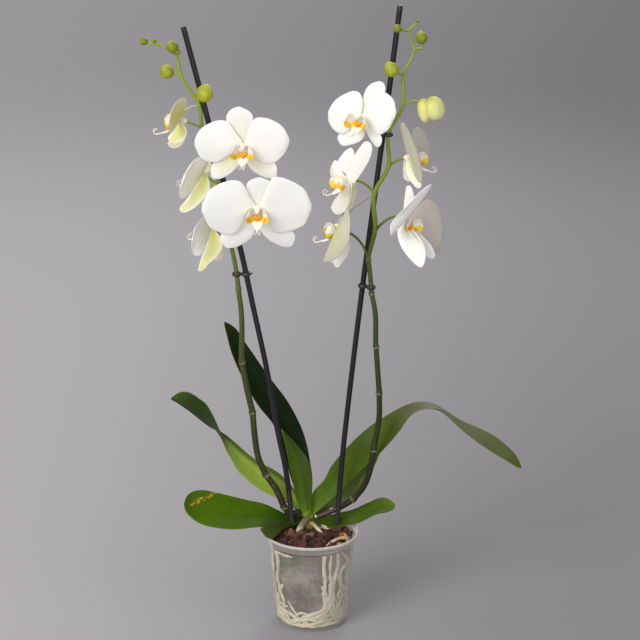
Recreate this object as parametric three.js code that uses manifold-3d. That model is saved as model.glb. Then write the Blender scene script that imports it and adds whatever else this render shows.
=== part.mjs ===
// A white moth orchid with two flower spikes, in a clear nursery pot.
// Millimetres, +Z up, origin at the centre of the pot's flat base.
import * as THREE from 'three';
import { mergeVertices } from 'three/addons/utils/BufferGeometryUtils.js';
import Module from 'manifold-3d';

const wasm = await Module();
wasm.setup();

// ---------------------------------------------------------------- driving dimensions
const GAP = 0.35;            // clearance kept between touching pieces
const POT_RIM_RADIUS = 60;   // outside of the rim
const POT_BASE_RADIUS = 45;
const POT_HEIGHT = 122;
const POT_WALL = 1.6;
const BARK_LEVEL = 114;      // top of the packed bark
const ROOT_SPACE = 5.5;      // ring between bark and wall, where the roots run
const LEAF_THICKNESS = 2.0;
const PETAL_THICKNESS = 1.2;
const LIP_SPAN = 110;        // the flower width that suits every lip

// ---------------------------------------------------------------- measured routes and outlines
// Stakes: x, y, z, radius, from the foot up.
const STAKES = {
  stake_left: [
    [-12.8, 14.5, 18, 3.4], [-24, 12, 120.9, 3.4],
    [-32.9, 10, 202.4, 3.4], [-42, 9, 249.9, 3.4],
    [-56.1, 8, 337.8, 3.4], [-70.9, 7, 412.3, 3.4],
    [-84.9, 6, 483, 3.4], [-99.8, 4, 548.9, 3.4],
    [-123.6, 2, 651.7, 3.4], [-150.8, -2, 764, 3.4],
  ],
  stake_right: [
    [25.9, 20, 18, 3.4], [32.8, 16, 122.7, 3.4],
    [36.3, 14, 175.7, 3.4], [39.1, 13, 212.1, 3.4],
    [47.7, 11, 299.9, 3.4], [53.8, 9, 357.1, 3.4],
    [63.7, 7, 444.4, 3.4], [79.5, 4, 573.8, 3.4],
    [94.7, 2, 696.5, 3.4], [105.6, -2, 789.5, 3.4],
  ],
};
// Spikes: the stem with its swollen nodes, and the flower and bud stalks.
const SPIKES = {
  spike_left: {
    stem: [
      [-16, 24, 136.7, 3.6], [-28.8, 19.6, 137.1, 4],
      [-34, 18.8, 144.5, 4.2], [-35.3, 18.6, 146.3, 5.1],
      [-36.1, 18.5, 148.3, 4.2], [-44.5, 17.5, 169.5, 4.1],
      [-57.1, 16.1, 189.6, 4.1], [-58.3, 16, 191.5, 5],
      [-59.1, 15.8, 193.5, 4.1], [-66.5, 14, 212.3, 4],
      [-71.7, 12, 246.6, 3.9], [-73.9, 11.1, 276.1, 3.9],
      [-74.1, 11, 278.3, 4.8], [-74.6, 10.9, 280.4, 3.9],
      [-86.4, 8.1, 343.1, 3.6], [-86.7, 8, 345.3, 4.4],
      [-86.7, 7.9, 347.5, 3.6], [-86.7, 6.5, 412.5, 3.2],
      [-89.6, 6, 438.7, 3.1], [-89.8, 6, 440.9, 3.8],
      [-90, 6, 443.1, 3.1], [-92, 6, 461.3, 2.8],
      [-106.1, 4, 533.9, 2.5], [-112.1, 3, 575.3, 2.4],
      [-131, 3, 643, 2.1], [-135.4, 3, 674, 2.5],
      [-145.5, 3, 687.9, 1.9], [-155, 3, 705.5, 2.2],
      [-161, 3, 729.9, 1.8], [-181.2, 3, 743.2, 1.2],
    ],
    stalks: [
      [[-130.4, 3, 640.8, 1.7], [-136.1, 3.3, 644.2, 1.5],
        [-143.5, 3.2, 647.1, 1.5], [-153.8, 2.2, 650.7, 1.7]],
      [[-111.2, 3.2, 568.8, 1.7], [-115.4, 3.4, 573.7, 1.5],
        [-121.3, 4.5, 578, 1.5], [-129.9, 7.5, 582.3, 1.7]],
      [[-102, 4.6, 512.8, 1.7], [-105.7, 8.8, 512.1, 1.5],
        [-111.2, 13.3, 511.4, 1.5], [-119.4, 17.6, 512.5, 1.7]],
      [[-119.3, 3, 601, 1.7], [-108.4, -5.6, 609.2, 1.5],
        [-89.5, -8.5, 621.5, 1.5], [-80.2, -22.4, 624.9, 1.7]],
      [[-105.4, 4.1, 530.1, 1.7], [-93.3, -5.3, 538.5, 1.5],
        [-74.1, -10.9, 550.1, 1.5], [-64.1, -26.3, 550.4, 1.7]],
      [[-135.4, 3, 674, 1.4], [-131.8, -3.4, 678.6, 1.4], [-128.2, -9.7, 684.2, 1.4]],
      [[-155, 3, 705.5, 1.4], [-161.7, 3, 706.8, 1.4], [-168.4, 3, 709, 1.4]],
      [[-160.8, 3, 729.3, 1.4], [-155.2, 1, 733.8, 1.4], [-161.8, -1.2, 738.5, 1.4]],
      [[-181.2, 3, 743.2, 0.9], [-183.3, 2.6, 744.3, 0.9], [-185.4, 2.2, 746.4, 0.9]],
      [[-180, 3, 742.4, 1.4], [-188.4, 3, 743.5, 1.4], [-196.8, 3, 745.6, 1.4]],
    ],
  },
  spike_right: {
    stem: [
      [0.7, 24, 127, 3.4], [44.4, 26, 147.2, 4.1],
      [52.9, 24.3, 153.9, 4], [54.6, 24, 155.3, 4.9],
      [55.8, 23.6, 157.1, 4], [65.9, 20, 172, 4],
      [75, 14, 199.5, 3.9], [78.8, 10.3, 225.9, 3.8],
      [79.1, 10, 228.1, 4.6], [79.4, 9.8, 230.3, 3.8],
      [85.6, 6, 276.5, 3.6], [85.2, 4.1, 304, 3.5],
      [85.2, 4, 306.2, 4.3], [85, 3.9, 308.4, 3.5],
      [80.6, 2.1, 365, 3.3], [80.4, 2, 367.2, 4],
      [80.3, 1.9, 369.4, 3.3], [78.7, 0, 414.4, 3.2],
      [74.9, 0, 434.6, 3.1], [74.5, 0, 436.8, 3.8],
      [74.3, 0, 439, 3.1], [72.7, 0, 457.9, 2.9],
      [70.2, -2, 479.1, 2.9], [69.9, -2.2, 481.3, 3.5],
      [70.3, -2.3, 483.5, 2.9], [77.9, -3.6, 516.6, 3],
      [76.9, -4, 562.8, 2.9], [93.6, -2, 595.5, 2.6],
      [93.3, 0, 634.3, 2.1], [110.6, 0, 670.9, 2.3],
      [110.6, 0, 705.9, 1.9], [122.6, 0, 737.7, 1.4],
      [116.4, 0, 758.9, 1.2], [126.1, 0, 769.3, 0.9],
    ],
    stalks: [
      [[95, 0, 637.9, 1.7], [82.8, -0.2, 650.3, 1.5],
        [70.7, -4.9, 658.5, 1.5], [60.4, -18.7, 660.2, 1.7]],
      [[93.1, -2.1, 594.6, 1.7], [99, 1.2, 599.1, 1.5],
        [106.7, 2.8, 602.7, 1.5], [117.2, 0.5, 605.9, 1.7]],
      [[77.6, -3.6, 515.3, 1.7], [88.9, 4.4, 525.2, 1.5],
        [101.1, 7.8, 530.9, 1.5], [113.6, 1, 530.2, 1.7]],
      [[76.9, -4, 562, 1.7], [69.9, -3.1, 570.7, 1.5],
        [60.6, -4.1, 577.1, 1.5], [47.8, -9.4, 580.6, 1.7]],
      [[70, -2.2, 480.9, 1.7], [64.4, -2, 495.1, 1.5], [55, -2.4, 507.3, 1.5], [38.4, -3.9, 517.8, 1.7]],
      [[121.6, 0, 764.5, 0.9], [123.9, 0, 766.7, 0.9], [126.2, 0, 769.9, 0.9]],
      [[116.4, 0, 758.9, 1.4], [110.4, -4.4, 760.4, 1.4], [104.4, -8.7, 762.9, 1.4]],
      [[122.6, 0, 737.7, 1.4], [132.9, 2, 738.8, 1.4], [131.7, 0.5, 748, 1.4]],
      [[110.6, 0, 705.9, 1.4], [104.4, -5.4, 709.4, 1.4], [98.1, -10.8, 713.8, 1.4]],
      [[110.6, 0, 670.9, 1.4], [123.6, 0, 675.1, 1.4], [140.5, 0, 668, 1.4]],
    ],
  },
};
// Leaves: pairs of points on the two edges from base to tip, and how far the middle sinks.
const LEAVES = {
  leaf_low_left: [[
    [[-16, 20, 134.2], [-17.2, 15, 126.6]], [[-28.8, 22, 134.1], [-31.3, 11, 126.8]],
    [[-44.3, 24, 140], [-48.9, -2, 128.1]], [[-63.5, 25, 148.7], [-66.5, -11, 130.2]],
    [[-82.7, 24, 153.9], [-84.1, -15, 129.9]], [[-103.1, 23, 158.9], [-104.3, -18, 130.3]],
    [[-122.2, 21, 165.4], [-125.8, -18, 132.8]], [[-139.8, 17, 169.7], [-143.6, -15, 138.4]],
    [[-151.6, 12, 169.7], [-154.5, -10, 145]], [[-159.2, 5, 164.9], [-160.2, -5, 151.2]],
    [[-161.2, 2, 160], [-161.5, -1, 155]],
  ], 5],
  leaf_curl_left: [[
    [[-13.5, 30, 146.7], [-16.1, 28, 132.3]], [[-25, 36, 167.8], [-27.6, 29, 144.3]],
    [[-44.3, 38, 186.9], [-50.7, 28, 157.2]], [[-60.9, 38, 196.9], [-69.7, 24, 169.7]],
    [[-73.6, 37, 205.8], [-85.3, 20, 185]], [[-96.3, 34, 226.7], [-98.4, 15, 205.9]],
    [[-106.3, 32, 236.2], [-107.4, 11, 226.3]], [[-113.8, 30, 243], [-113.2, 4, 247.7]],
    [[-126.3, 27, 250.8], [-127.7, 4, 283]], [[-142.3, 22, 264.1], [-139.6, 2, 298.4]],
    [[-153.8, 17, 275.8], [-149.9, 3, 305]], [[-165.3, 13, 286.6], [-160.5, 4, 306.5]],
    [[-173, 9, 293.3], [-169.4, 5, 303.2]], [[-176, 7, 295.1], [-174.6, 6, 298.9]],
  ], 4],
  leaf_tall_dark: [[
    [[-1.9, 31, 150.4], [-12.2, 30, 143.9]], [[1.1, 35, 164], [-22.4, 34, 167.2]],
    [[-2.8, 48, 203.1], [-35.1, 37, 214]], [[-12.8, 58, 240.4], [-47.8, 41, 247.9]],
    [[-30.1, 64, 272.4], [-68.1, 43, 275.6]], [[-48, 66, 297.5], [-83.8, 45, 301.8]],
    [[-63.3, 67, 320], [-95.7, 48, 328.9]], [[-75.9, 67, 338.8], [-102.5, 52, 347.6]],
    [[-85.9, 66, 353.9], [-106.3, 56, 361.6]], [[-97.1, 64, 372.3], [-109.6, 60, 373]],
    [[-107.1, 63, 379.2], [-110.4, 62, 377.7]],
  ], 5],
  leaf_inner: [[
    [[0.1, 20, 138.3], [-10.8, 19, 133.2]], [[0.8, 22, 165], [-18.5, 20, 154.8]],
    [[-0.1, 26, 188.1], [-26.3, 22, 189.6]], [[-5.6, 31, 208.1], [-30.5, 25, 213]],
    [[-14.6, 34, 220.5], [-33.6, 28, 228.2]], [[-26.1, 36, 233.4], [-36.4, 32, 238.9]],
    [[-35, 36, 243.2], [-38, 35, 244.6]],
  ], 4],
  leaf_arch_right: [[
    [[-4.4, 24, 140.8], [2, 22, 130.6]], [[4.6, 29, 166.4], [13.6, 24, 142.2]],
    [[14.9, 32, 175.5], [29, 27, 154.8]], [[24.5, 36, 193.9], [44.4, 28, 169.5]],
    [[36.7, 39, 209.2], [59.6, 27, 187.7]], [[61, 44, 233.8], [83.6, 22, 214.1]],
    [[80.1, 46, 250.2], [99.8, 18, 233.2]], [[95.4, 47, 260], [110.9, 14, 249.5]],
    [[115.7, 46, 271.8], [123, 8, 272.3]], [[138.4, 42, 279.7], [136.4, 2, 283.9]],
    [[152.2, 38, 280.2], [149.5, 0, 286.2]], [[164.8, 34, 275.2], [162.5, -2, 285.5]],
    [[190.4, 32, 259.2], [182, -6, 266]], [[209.6, 31, 250.1], [197.7, -9, 253.8]],
    [[233.8, 28, 237.7], [215.4, -11, 240.5]], [[249, 24, 226.9], [232.2, -9, 227.7]],
    [[260.6, 15, 217.4], [248.1, -4, 216.5]], [[264.4, 7, 210.3], [262.3, 3, 205.1]],
  ], 3],
  leaf_fold_right: [[
    [[-1.2, 25, 133.5], [3.9, 23, 126]], [[16.2, 38, 142.1], [21.3, 33, 128.9]],
    [[34.3, 44, 156.4], [40.7, 34, 137.5]], [[49.8, 48, 172.8], [58.6, 34, 157.5]],
    [[65.2, 48, 190.7], [71.3, 32, 180.3]], [[76.6, 44, 205.9], [81.4, 32, 199.5]],
    [[85.3, 38, 216.3], [87.1, 34, 213.7]],
  ], 3],
  leaf_low_right: [[
    [[-0.5, 15, 130.7], [3.3, 12, 124.4]], [[9.7, 22, 129.2], [16.1, 9, 121.5]],
    [[23.9, 28, 130.2], [31.5, 7, 121.6]], [[38.1, 33, 133], [48.1, 9, 124.9]],
    [[56.9, 37, 136], [62.2, 11, 128.2]], [[75.6, 38, 145.6], [86.1, 16, 137.5]],
    [[92.3, 37, 151.4], [99.6, 21, 138.6]], [[103.2, 34, 148.6], [106.5, 27, 140.3]],
  ], 4],
  leaf_small: [[
    [[-18.5, 14, 127.7], [-19.7, 10, 124.5]], [[-30, 10, 130], [-34.8, -6, 126.3]],
    [[-41.3, 2, 133.3], [-44.6, -28, 125.2]], [[-51.3, -8, 134], [-52.6, -34, 124.2]],
    [[-58.2, -12, 132.2], [-59, -30, 127.2]], [[-63.2, -16, 130.6], [-63.4, -20, 129.4]],
  ], 2],
};
// Flowers: hub centre, facing (turn from the front, rise), roll and span; then pairs of points on the
// edges of each petal from root to tip, in the order upper sepal, two petals, two lower sepals.
const FLOWERS = {
  a: {
    at: [-154.9, 2, 651.1], face: [-82, 20], roll: 0, size: 82,
    petals: [
      [[[-153.5, 1, 651], [-153.2, 3.4, 650.1]], [[-155.5, -4, 656.5], [-154, 8, 651.7]],
        [[-144.4, -6, 669.2], [-144.4, 12, 664.2]], [[-138.6, -3, 670.5], [-138.5, 8, 667.2]],
        [[-136, 0, 669.7], [-135.8, 4, 668.3]]],
      [[[-155.7, 1.8, 652.8], [-156.9, 1.8, 650.4]], [[-155.2, 0, 655.1], [-157.7, 0, 650.2]],
        [[-147.1, -18, 678.4], [-163.9, -18, 642.2]], [[-155.5, -32, 681.8], [-167.7, -32, 648.6]],
        [[-160.7, -36, 675.1], [-166.6, -36, 658.4]], [[-163.6, -38, 669.5], [-164.9, -38, 664.8]]],
      [[[-155.8, 1.8, 652.8], [-156.7, 1.8, 650.4]], [[-156.9, 6, 654], [-158.8, 6, 649.1]],
        [[-152.9, 24, 668.3], [-168.8, 24, 635.1]], [[-163.7, 38, 665.1], [-174, 38, 637.3]],
        [[-168.4, 42, 657.6], [-173.5, 42, 644.6]], [[-171, 44, 652.3], [-172.3, 44, 648.6]]],
      [[[-154.6, 2.2, 651.1], [-152.2, 2.2, 650]], [[-156.9, -3, 650.2], [-152.8, -3, 648.4]],
        [[-168.5, -8, 637.2], [-149.4, -8, 633.5]], [[-171.5, -9, 631.9], [-155.8, -9, 627]],
        [[-169.5, -10, 627.9], [-166, -10, 626]]],
      [[[-154.5, 2.2, 651.3], [-152.3, 2.2, 649.8]], [[-158.8, 5, 646.2], [-155.2, 5, 643.8]],
        [[-172.2, 10, 624.4], [-153.2, 10, 623.2]], [[-173.3, 11, 619.3], [-161, 11, 616]],
        [[-170.1, 12, 616], [-166.5, 12, 614.9]]],
    ],
  },
  b: {
    at: [-131.1, 8, 582.8], face: [-112, 22], roll: 0, size: 90,
    petals: [
      [[[-130.8, 7.4, 582.8], [-128.3, 7.4, 581.5]], [[-129.7, 7, 588], [-124.9, 7, 585.5]],
        [[-126.1, 10, 594.8], [-118.9, 10, 591.1]], [[-121.3, 13, 601.6], [-114.1, 13, 596.6]],
        [[-116.6, 16, 604], [-111.8, 16, 601.6]]],
      [[[-131.8, 8.6, 584.7], [-133.2, 8.6, 582.1]], [[-129.1, 6, 587.6], [-132.2, 6, 582]],
        [[-123.5, -8, 603], [-148.3, -8, 561.7]], [[-134.9, -22, 609.9], [-157.8, -22, 565.5]],
        [[-141.9, -27, 604.6], [-155.6, -27, 577.1]], [[-146.6, -30, 596.7], [-149.8, -30, 590]]],
      [[[-132.7, 8.6, 584.8], [-132.2, 8.6, 582]], [[-127.6, 12, 585.7], [-126.5, 12, 579.5]],
        [[-124.4, 22, 593.5], [-119.9, 22, 569.8]], [[-121.3, 34, 595.9], [-118.1, 34, 562]],
        [[-120.7, 44, 587.5], [-118.6, 44, 566.1]], [[-119.8, 48, 579.1], [-119.5, 48, 574]]],
      [[[-130.8, 7.4, 582.8], [-128.3, 7.4, 581.5]], [[-138.6, -1, 573.1], [-121.9, -1, 574.9]],
        [[-155.1, -6, 551.3], [-132, -6, 554.4]], [[-159.2, -6, 544.4], [-144.3, -6, 543.4]],
        [[-157.7, -6, 539.8], [-153.5, -6, 539.1]]],
      [[[-130.9, 7.4, 582.6], [-128.2, 7.4, 581.6]], [[-127.6, 10, 581.2], [-124, 10, 579.9]],
        [[-126.7, 13, 568], [-117, 13, 566.8]], [[-130.8, 16, 554.9], [-119.8, 16, 552.4]],
        [[-132.4, 20, 542.6], [-128.2, 20, 540.7]]],
    ],
  },
  c: {
    at: [-120.5, 18, 512.8], face: [-112, 14], roll: 0, size: 82,
    petals: [
      [[[-120.3, 17.4, 512.4], [-117.7, 17.4, 512.4]], [[-123, 20, 516.1], [-118.1, 20, 516.1]],
        [[-119.4, 24, 524], [-113.3, 24, 521.5]], [[-115.8, 27, 532.1], [-108.4, 27, 528.3]],
        [[-110.9, 30, 538.4], [-107.2, 30, 535.8]]],
      [[[-121.5, 18.5, 514.4], [-122.1, 18.5, 511.9]], [[-122.8, 16, 515.9], [-124.2, 16, 509.5]],
        [[-127.8, 0, 532.6], [-129.7, 0, 492.1]], [[-138.3, -14, 524.6], [-139.6, -14, 488]],
        [[-141.9, -18, 514.3], [-143.7, -18, 494.9]], [[-143.1, -20, 507.3], [-143.9, -20, 501.7]]],
      [[[-122, 18.5, 514.5], [-121.6, 18.5, 511.9]], [[-120.7, 22, 515.6], [-119.6, 22, 508]],
        [[-118.7, 34, 521.6], [-115.5, 34, 491]], [[-118.1, 46, 523.7], [-113.7, 46, 482.7]],
        [[-117.3, 54, 516.7], [-114, 54, 488.4]], [[-116.8, 58, 504.2], [-116.2, 58, 499]]],
      [[[-120.3, 17.4, 512.5], [-117.7, 17.4, 512.3]], [[-126.4, 10, 500.9], [-111.3, 10, 505.4]],
        [[-135.6, 7, 476.3], [-114.9, 7, 481]], [[-138.4, 6, 467.1], [-127.3, 6, 470.3]],
        [[-138.4, 6, 462.2], [-135.7, 6, 462]]],
      [[[-120.3, 17.4, 512.5], [-117.7, 17.4, 512.3]], [[-118.3, 22, 509.3], [-113.4, 22, 508.9]],
        [[-117.5, 26, 495.6], [-107.2, 26, 496.8]], [[-120.2, 27, 481.3], [-108.1, 27, 483.8]],
        [[-119.2, 28, 470.1], [-115.5, 28, 468.8]]],
    ],
  },
  d: {
    at: [-80.3, -24, 624.6], face: [-3, -12], roll: 0, size: 112,
    petals: [
      [[[-82, -21.7, 625], [-78.4, -21.9, 625.1]], [[-93.2, -24.5, 641.1], [-72.3, -25.7, 641.3]],
        [[-98.2, -29.6, 666.2], [-70.7, -31.3, 667.1]], [[-93.1, -31, 671.6], [-77.7, -31.9, 671.7]],
        [[-88.3, -31.7, 673.5], [-82.4, -32, 673.6]]],
      [[[-80.7, -26.3, 625.9], [-80.1, -25.6, 622.5]], [[-77.1, -28, 632.7], [-76, -26.8, 627]],
        [[-74.7, -30.9, 646], [-71.4, -25, 617.6]], [[-55.8, -35.2, 661.7], [-53.6, -22.9, 603.4]],
        [[-33.7, -34, 650.2], [-33.8, -26.4, 614.8]], [[-27.8, -32.1, 640.2], [-28.3, -28.7, 624.4]],
        [[-26.2, -31, 634.6], [-26.2, -30.2, 630.8]]],
      [[[-80, -26.4, 625.9], [-80.8, -25.6, 622.5]], [[-81.8, -27.7, 632.7], [-83.1, -26.4, 627]],
        [[-90.5, -29.8, 644.6], [-90.4, -24.7, 620.5]], [[-108.7, -31.7, 657.9], [-111.8, -20.2, 604.7]],
        [[-130, -28.2, 646.6], [-131.4, -20.5, 611.1]], [[-135.9, -26, 637.8], [-136.2, -22.3, 620.6]],
        [[-137.8, -24.5, 631.4], [-137.9, -23.7, 627.6]]],
      [[[-79.2, -22.2, 626.5], [-81.2, -21.5, 623.6]], [[-64.3, -20.7, 616.1], [-76, -17, 601.2]],
        [[-43.2, -19.2, 603.8], [-60.6, -14.8, 587.1]], [[-40.4, -17.5, 595.2], [-49.8, -14.6, 583.7]],
        [[-41.6, -15.6, 586.2], [-44, -15, 584.2]]],
      [[[-81.2, -22.1, 626.5], [-79.2, -21.5, 623.6]], [[-97.9, -19, 616.3], [-85.9, -17.1, 604.3]],
        [[-118.3, -14.8, 601.6], [-97.9, -13.1, 588.5]], [[-120.6, -12.9, 593], [-108.3, -11.3, 582.7]],
        [[-119.2, -11, 584], [-115, -10.8, 582.1]]],
    ],
  },
  e: {
    at: [-64.1, -28, 549.7], face: [0, -22], roll: 0, size: 124,
    petals: [
      [[[-66.1, -25.7, 550.6], [-62.1, -25.7, 550.6]], [[-72.3, -31.3, 564.6], [-54.3, -31.3, 564.6]],
        [[-74.8, -39.5, 584.8], [-48.6, -39.8, 585.5]], [[-69.3, -41.1, 588.8], [-53.9, -41.2, 589.1]],
        [[-63.9, -41.8, 590.4], [-58.6, -41.8, 590.4]]],
      [[[-64.4, -30.8, 550.7], [-63.8, -29.3, 547]], [[-59.1, -33.9, 558.5], [-57.5, -30.1, 548.9]],
        [[-54.6, -39.7, 572.7], [-52.2, -25.9, 538.7]], [[-38.2, -47.9, 593], [-38.1, -17, 516.6]],
        [[-13.4, -42.7, 580], [-13.2, -20.9, 526.3]], [[-4.5, -37.5, 567.3], [-4.7, -25.1, 536.6]],
        [[-0.6, -32.8, 555.7], [-0.7, -30.1, 548.9]]],
      [[[-63.8, -30.8, 550.7], [-64.4, -29.3, 547]], [[-68.7, -33.9, 558.5], [-70.1, -30.1, 548.9]],
        [[-74.6, -38.6, 570], [-76.9, -26.8, 540.7]], [[-88.8, -46.1, 588.5], [-92, -16.8, 516]],
        [[-114.3, -42.1, 578.7], [-115.7, -18.9, 521.2]],
        [[-124.3, -37.2, 566.6], [-125.1, -23.7, 533.2]], [[-129.3, -32, 553.7], [-129.6, -29.3, 546.9]]],
      [[[-63, -26.3, 552.2], [-65.2, -25.1, 549.1]], [[-47, -18.1, 531.8], [-61.2, -13.3, 520]],
        [[-21.8, -11.8, 516.1], [-45.1, -5.6, 500.9]], [[-19.4, -7.7, 506.1], [-32.4, -3.3, 495.3]],
        [[-22.6, -4.3, 497.7], [-26.3, -3.6, 495.8]]],
      [[[-65.1, -26.3, 552.2], [-63.1, -25.1, 549]], [[-85.8, -17.8, 531.1], [-68.7, -13.3, 520]],
        [[-109.3, -10.5, 513.1], [-81.1, -5.5, 500.7]], [[-109.7, -6.6, 503.3], [-92.9, -3, 494.6]],
        [[-105, -3.4, 495.5], [-100.2, -2.9, 494.1]]],
    ],
  },
  f: {
    at: [59.8, -20, 660.1], face: [-24, -6], roll: 0, size: 92,
    petals: [
      [[[59.2, -17.7, 660.2], [61.9, -18.9, 660.4]], [[61.5, -20.5, 675.3], [73.8, -25.8, 673.8]],
        [[66, -24.7, 694.9], [87.6, -34, 692.1]], [[71.2, -27.7, 700.7], [87.9, -34.9, 698.1]],
        [[79.3, -31.8, 704.4], [85.2, -34.2, 703.4]]],
      [[[58.6, -21.4, 661.3], [59.6, -21.6, 658.5]], [[62.1, -23.3, 664.4], [64.5, -23.6, 657.8]],
        [[67.2, -27.2, 677.7], [68.1, -24.5, 651.4]], [[85.7, -37.1, 692.8], [80.5, -28.7, 639.5]],
        [[93.9, -40.1, 686.8], [88.1, -32.6, 644.5]], [[98.5, -41.1, 677.9], [94.4, -36.4, 653.1]],
        [[100.1, -40.8, 668.9], [99.1, -39.8, 663.9]]],
      [[[59.6, -21.9, 661.3], [58.6, -21.1, 658.6]], [[60.9, -22.9, 664.9], [58, -20.7, 657.3]],
        [[62.2, -24.7, 676], [49.2, -15.5, 646.2]], [[52.5, -22.2, 691.7], [34.1, -7.8, 637.2]],
        [[31.5, -11.5, 679.6], [22.8, -4.1, 649.8]], [[24.5, -7.3, 670.4], [21.3, -4.3, 656.5]],
        [[22, -5.5, 664.6], [21.4, -4.8, 660.9]]],
      [[[61.6, -18.9, 661.1], [59.5, -17.8, 659.5]], [[65.2, -20, 657.1], [59.9, -17.2, 653]],
        [[83, -25.9, 639.6], [70.1, -19.6, 634.1]], [[84.9, -25.9, 632.3], [74.9, -20.9, 627]],
        [[82.6, -24.1, 625.3], [79.7, -22.6, 623.4]]],
      [[[59.2, -17.8, 660.6], [61.9, -18.9, 660]], [[51, -13.1, 651.6], [58.7, -16.3, 649.8]],
        [[33.8, -3.6, 635.7], [62.8, -16.2, 632.8]], [[32.3, -2, 628.1], [51.8, -10.4, 624.9]],
        [[36.3, -3.2, 622.4], [42.3, -5.8, 622]]],
    ],
  },
  g: {
    at: [118.4, 0, 606.2], face: [68, 14], roll: 0, size: 88,
    petals: [
      [[[116.4, -0.7, 606], [117.2, 2, 605.5]], [[116.4, -3, 612.3], [120, 9, 609.8]],
        [[112, -5, 625], [115.2, 13, 622.6]], [[108.2, -5, 639], [112, 13, 636.1]],
        [[105.7, 0, 649], [107.4, 7, 648.3]]],
      [[[119.4, -0.6, 607.9], [120.3, -0.6, 605.2]], [[111.6, -14, 629.3], [122.9, -14, 591.4]],
        [[106.4, -26, 649.8], [128.4, -26, 581.8]], [[108.7, -34, 653.8], [131.2, -34, 584.8]],
        [[115.1, -40, 646], [130.7, -40, 601.9]], [[121.6, -44, 630.6], [125.3, -44, 621.5]]],
      [[[119.6, -0.6, 608], [120.1, -0.6, 605.2]], [[122.5, 16, 624.4], [132.8, 16, 587.3]],
        [[123.7, 26, 634.1], [138.2, 26, 585.1]], [[130.9, 34, 635.3], [143.4, 34, 589.6]],
        [[139.9, 40, 624.5], [146, 40, 599.6]], [[144.7, 42, 612.9], [145.7, 42, 607.9]]],
      [[[115.4, 0.6, 606.1], [118.2, 0.6, 605.5]], [[115.3, -3, 605], [120.8, -3, 603.8]],
        [[117.5, -8, 583.9], [130.8, -8, 583.9]], [[123.6, -10, 575.1], [133.2, -10, 576.3]],
        [[128.7, -10, 570.5], [132.1, -10, 570.8]]],
      [[[115.6, 0.6, 606.4], [118.1, 0.6, 605.1]], [[113.8, 3, 604.9], [118.6, 3, 602.5]],
        [[111.8, 6, 595.7], [119.5, 6, 592]], [[112, 8, 585.3], [121.5, 8, 581.6]],
        [[116.2, 10, 575.2], [119.9, 10, 574.4]]],
    ],
  },
  h: {
    at: [114.5, 0, 529.9], face: [42, -14], roll: -10, size: 92,
    petals: [
      [[[111.9, 1.3, 530.7], [114.7, 1.3, 530]], [[112.2, 2, 531.9], [117.1, 2, 530.6]],
        [[113.9, -2, 559], [126.3, -2, 555.3]], [[114.9, -4, 567.6], [123.3, -4, 565.7]],
        [[117, -5, 572.4], [119.9, -5, 572.4]]],
      [[[116.5, -1.2, 530.6], [114.6, -1.2, 528.4]], [[114.3, -4, 533.3], [111.3, -4, 529.6]],
        [[137.2, -24, 565.4], [98.6, -24, 519.6]], [[135.1, -38, 576.8], [96.6, -38, 526.8]],
        [[121.9, -42, 565.5], [101.7, -42, 543.8]], [[113.6, -44, 556.5], [110.1, -44, 552.3]]],
      [[[115.4, -1.2, 531], [115.8, -1.2, 528]], [[118.4, 4, 530.1], [119.7, 4, 520.1]],
        [[140.8, 20, 549.8], [139.4, 20, 483.6]], [[158.4, 30, 532.7], [157.3, 30, 481]],
        [[162.2, 32, 517], [162.2, 32, 491.5]], [[163.3, 33, 506.5], [163.3, 33, 501.4]]],
      [[[112, 1.3, 530.9], [114.6, 1.3, 529.7]], [[105.2, -8, 514.3], [132.5, -8, 509.3]],
        [[116.2, -12, 487.7], [140.4, -12, 486.1]], [[124.4, -12, 478.5], [138.7, -12, 478.5]],
        [[131.2, -12, 472.9], [135.3, -12, 472.3]]],
      [[[111.8, 1.3, 530.3], [114.8, 1.3, 530.3]], [[119.8, 6, 519.6], [124.7, 6, 519.6]],
        [[126.3, 10, 504.7], [139.8, 10, 503.5]], [[134, 13, 488.7], [151.3, 13, 487.5]],
        [[146, 14, 476.7], [149.7, 14, 475.8]]],
    ],
  },
  i: {
    at: [46.6, -10, 580.7], face: [-62, 6], roll: 0, size: 88,
    petals: [
      [[[46.7, -9.2, 580.6], [49.5, -9.2, 580.4]], [[39.9, -8, 590.1], [47.2, -8, 589.5]],
        [[35.9, -6, 608.7], [52.3, -6, 609.3]], [[41.7, -4, 615.3], [51.6, -4, 615]],
        [[46.5, -4, 618.7], [49.2, -4, 618.7]]],
      [[[44.7, -10.7, 582.2], [45.7, -10.7, 579.6]], [[45.2, -20, 597.6], [53.6, -20, 581.1]],
        [[50, -28, 611.5], [62.8, -28, 595.7]], [[57, -35, 623.3], [69.3, -35, 610.6]],
        [[63.5, -39, 631.2], [71.5, -39, 622.9]], [[67.8, -41, 633.6], [70.8, -41, 631.8]]],
      [[[45.5, -10.7, 582.2], [44.9, -10.7, 579.5]], [[41.2, -2, 583.8], [40, -2, 577.6]],
        [[35.3, 10, 591.1], [32.9, 10, 568.7]], [[29.3, 20, 595.7], [28.1, 20, 571.5]],
        [[24.8, 26, 586.4], [25.1, 26, 578.9]]],
      [[[47.8, -10.5, 580.8], [48.5, -7.8, 580.2]], [[48.8, -26, 580.6], [53.3, -8, 576.5]],
        [[48.2, -28, 568.7], [54.5, -8, 565.4]], [[46.5, -24, 556.7], [51.5, -10, 552.2]],
        [[44.6, -16, 546.6], [46.3, -12, 545.2]]],
      [[[46.8, -9.2, 580.7], [49.5, -9.2, 580.3]], [[39.4, -6, 569.9], [47.3, -6, 568.6]],
        [[25.8, 0, 548.6], [44.7, 0, 545.5]], [[24.8, 3, 540.4], [39.9, 3, 537]],
        [[29.3, 4, 535.3], [34.2, 4, 534.8]]],
    ],
  },
  j: {
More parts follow.
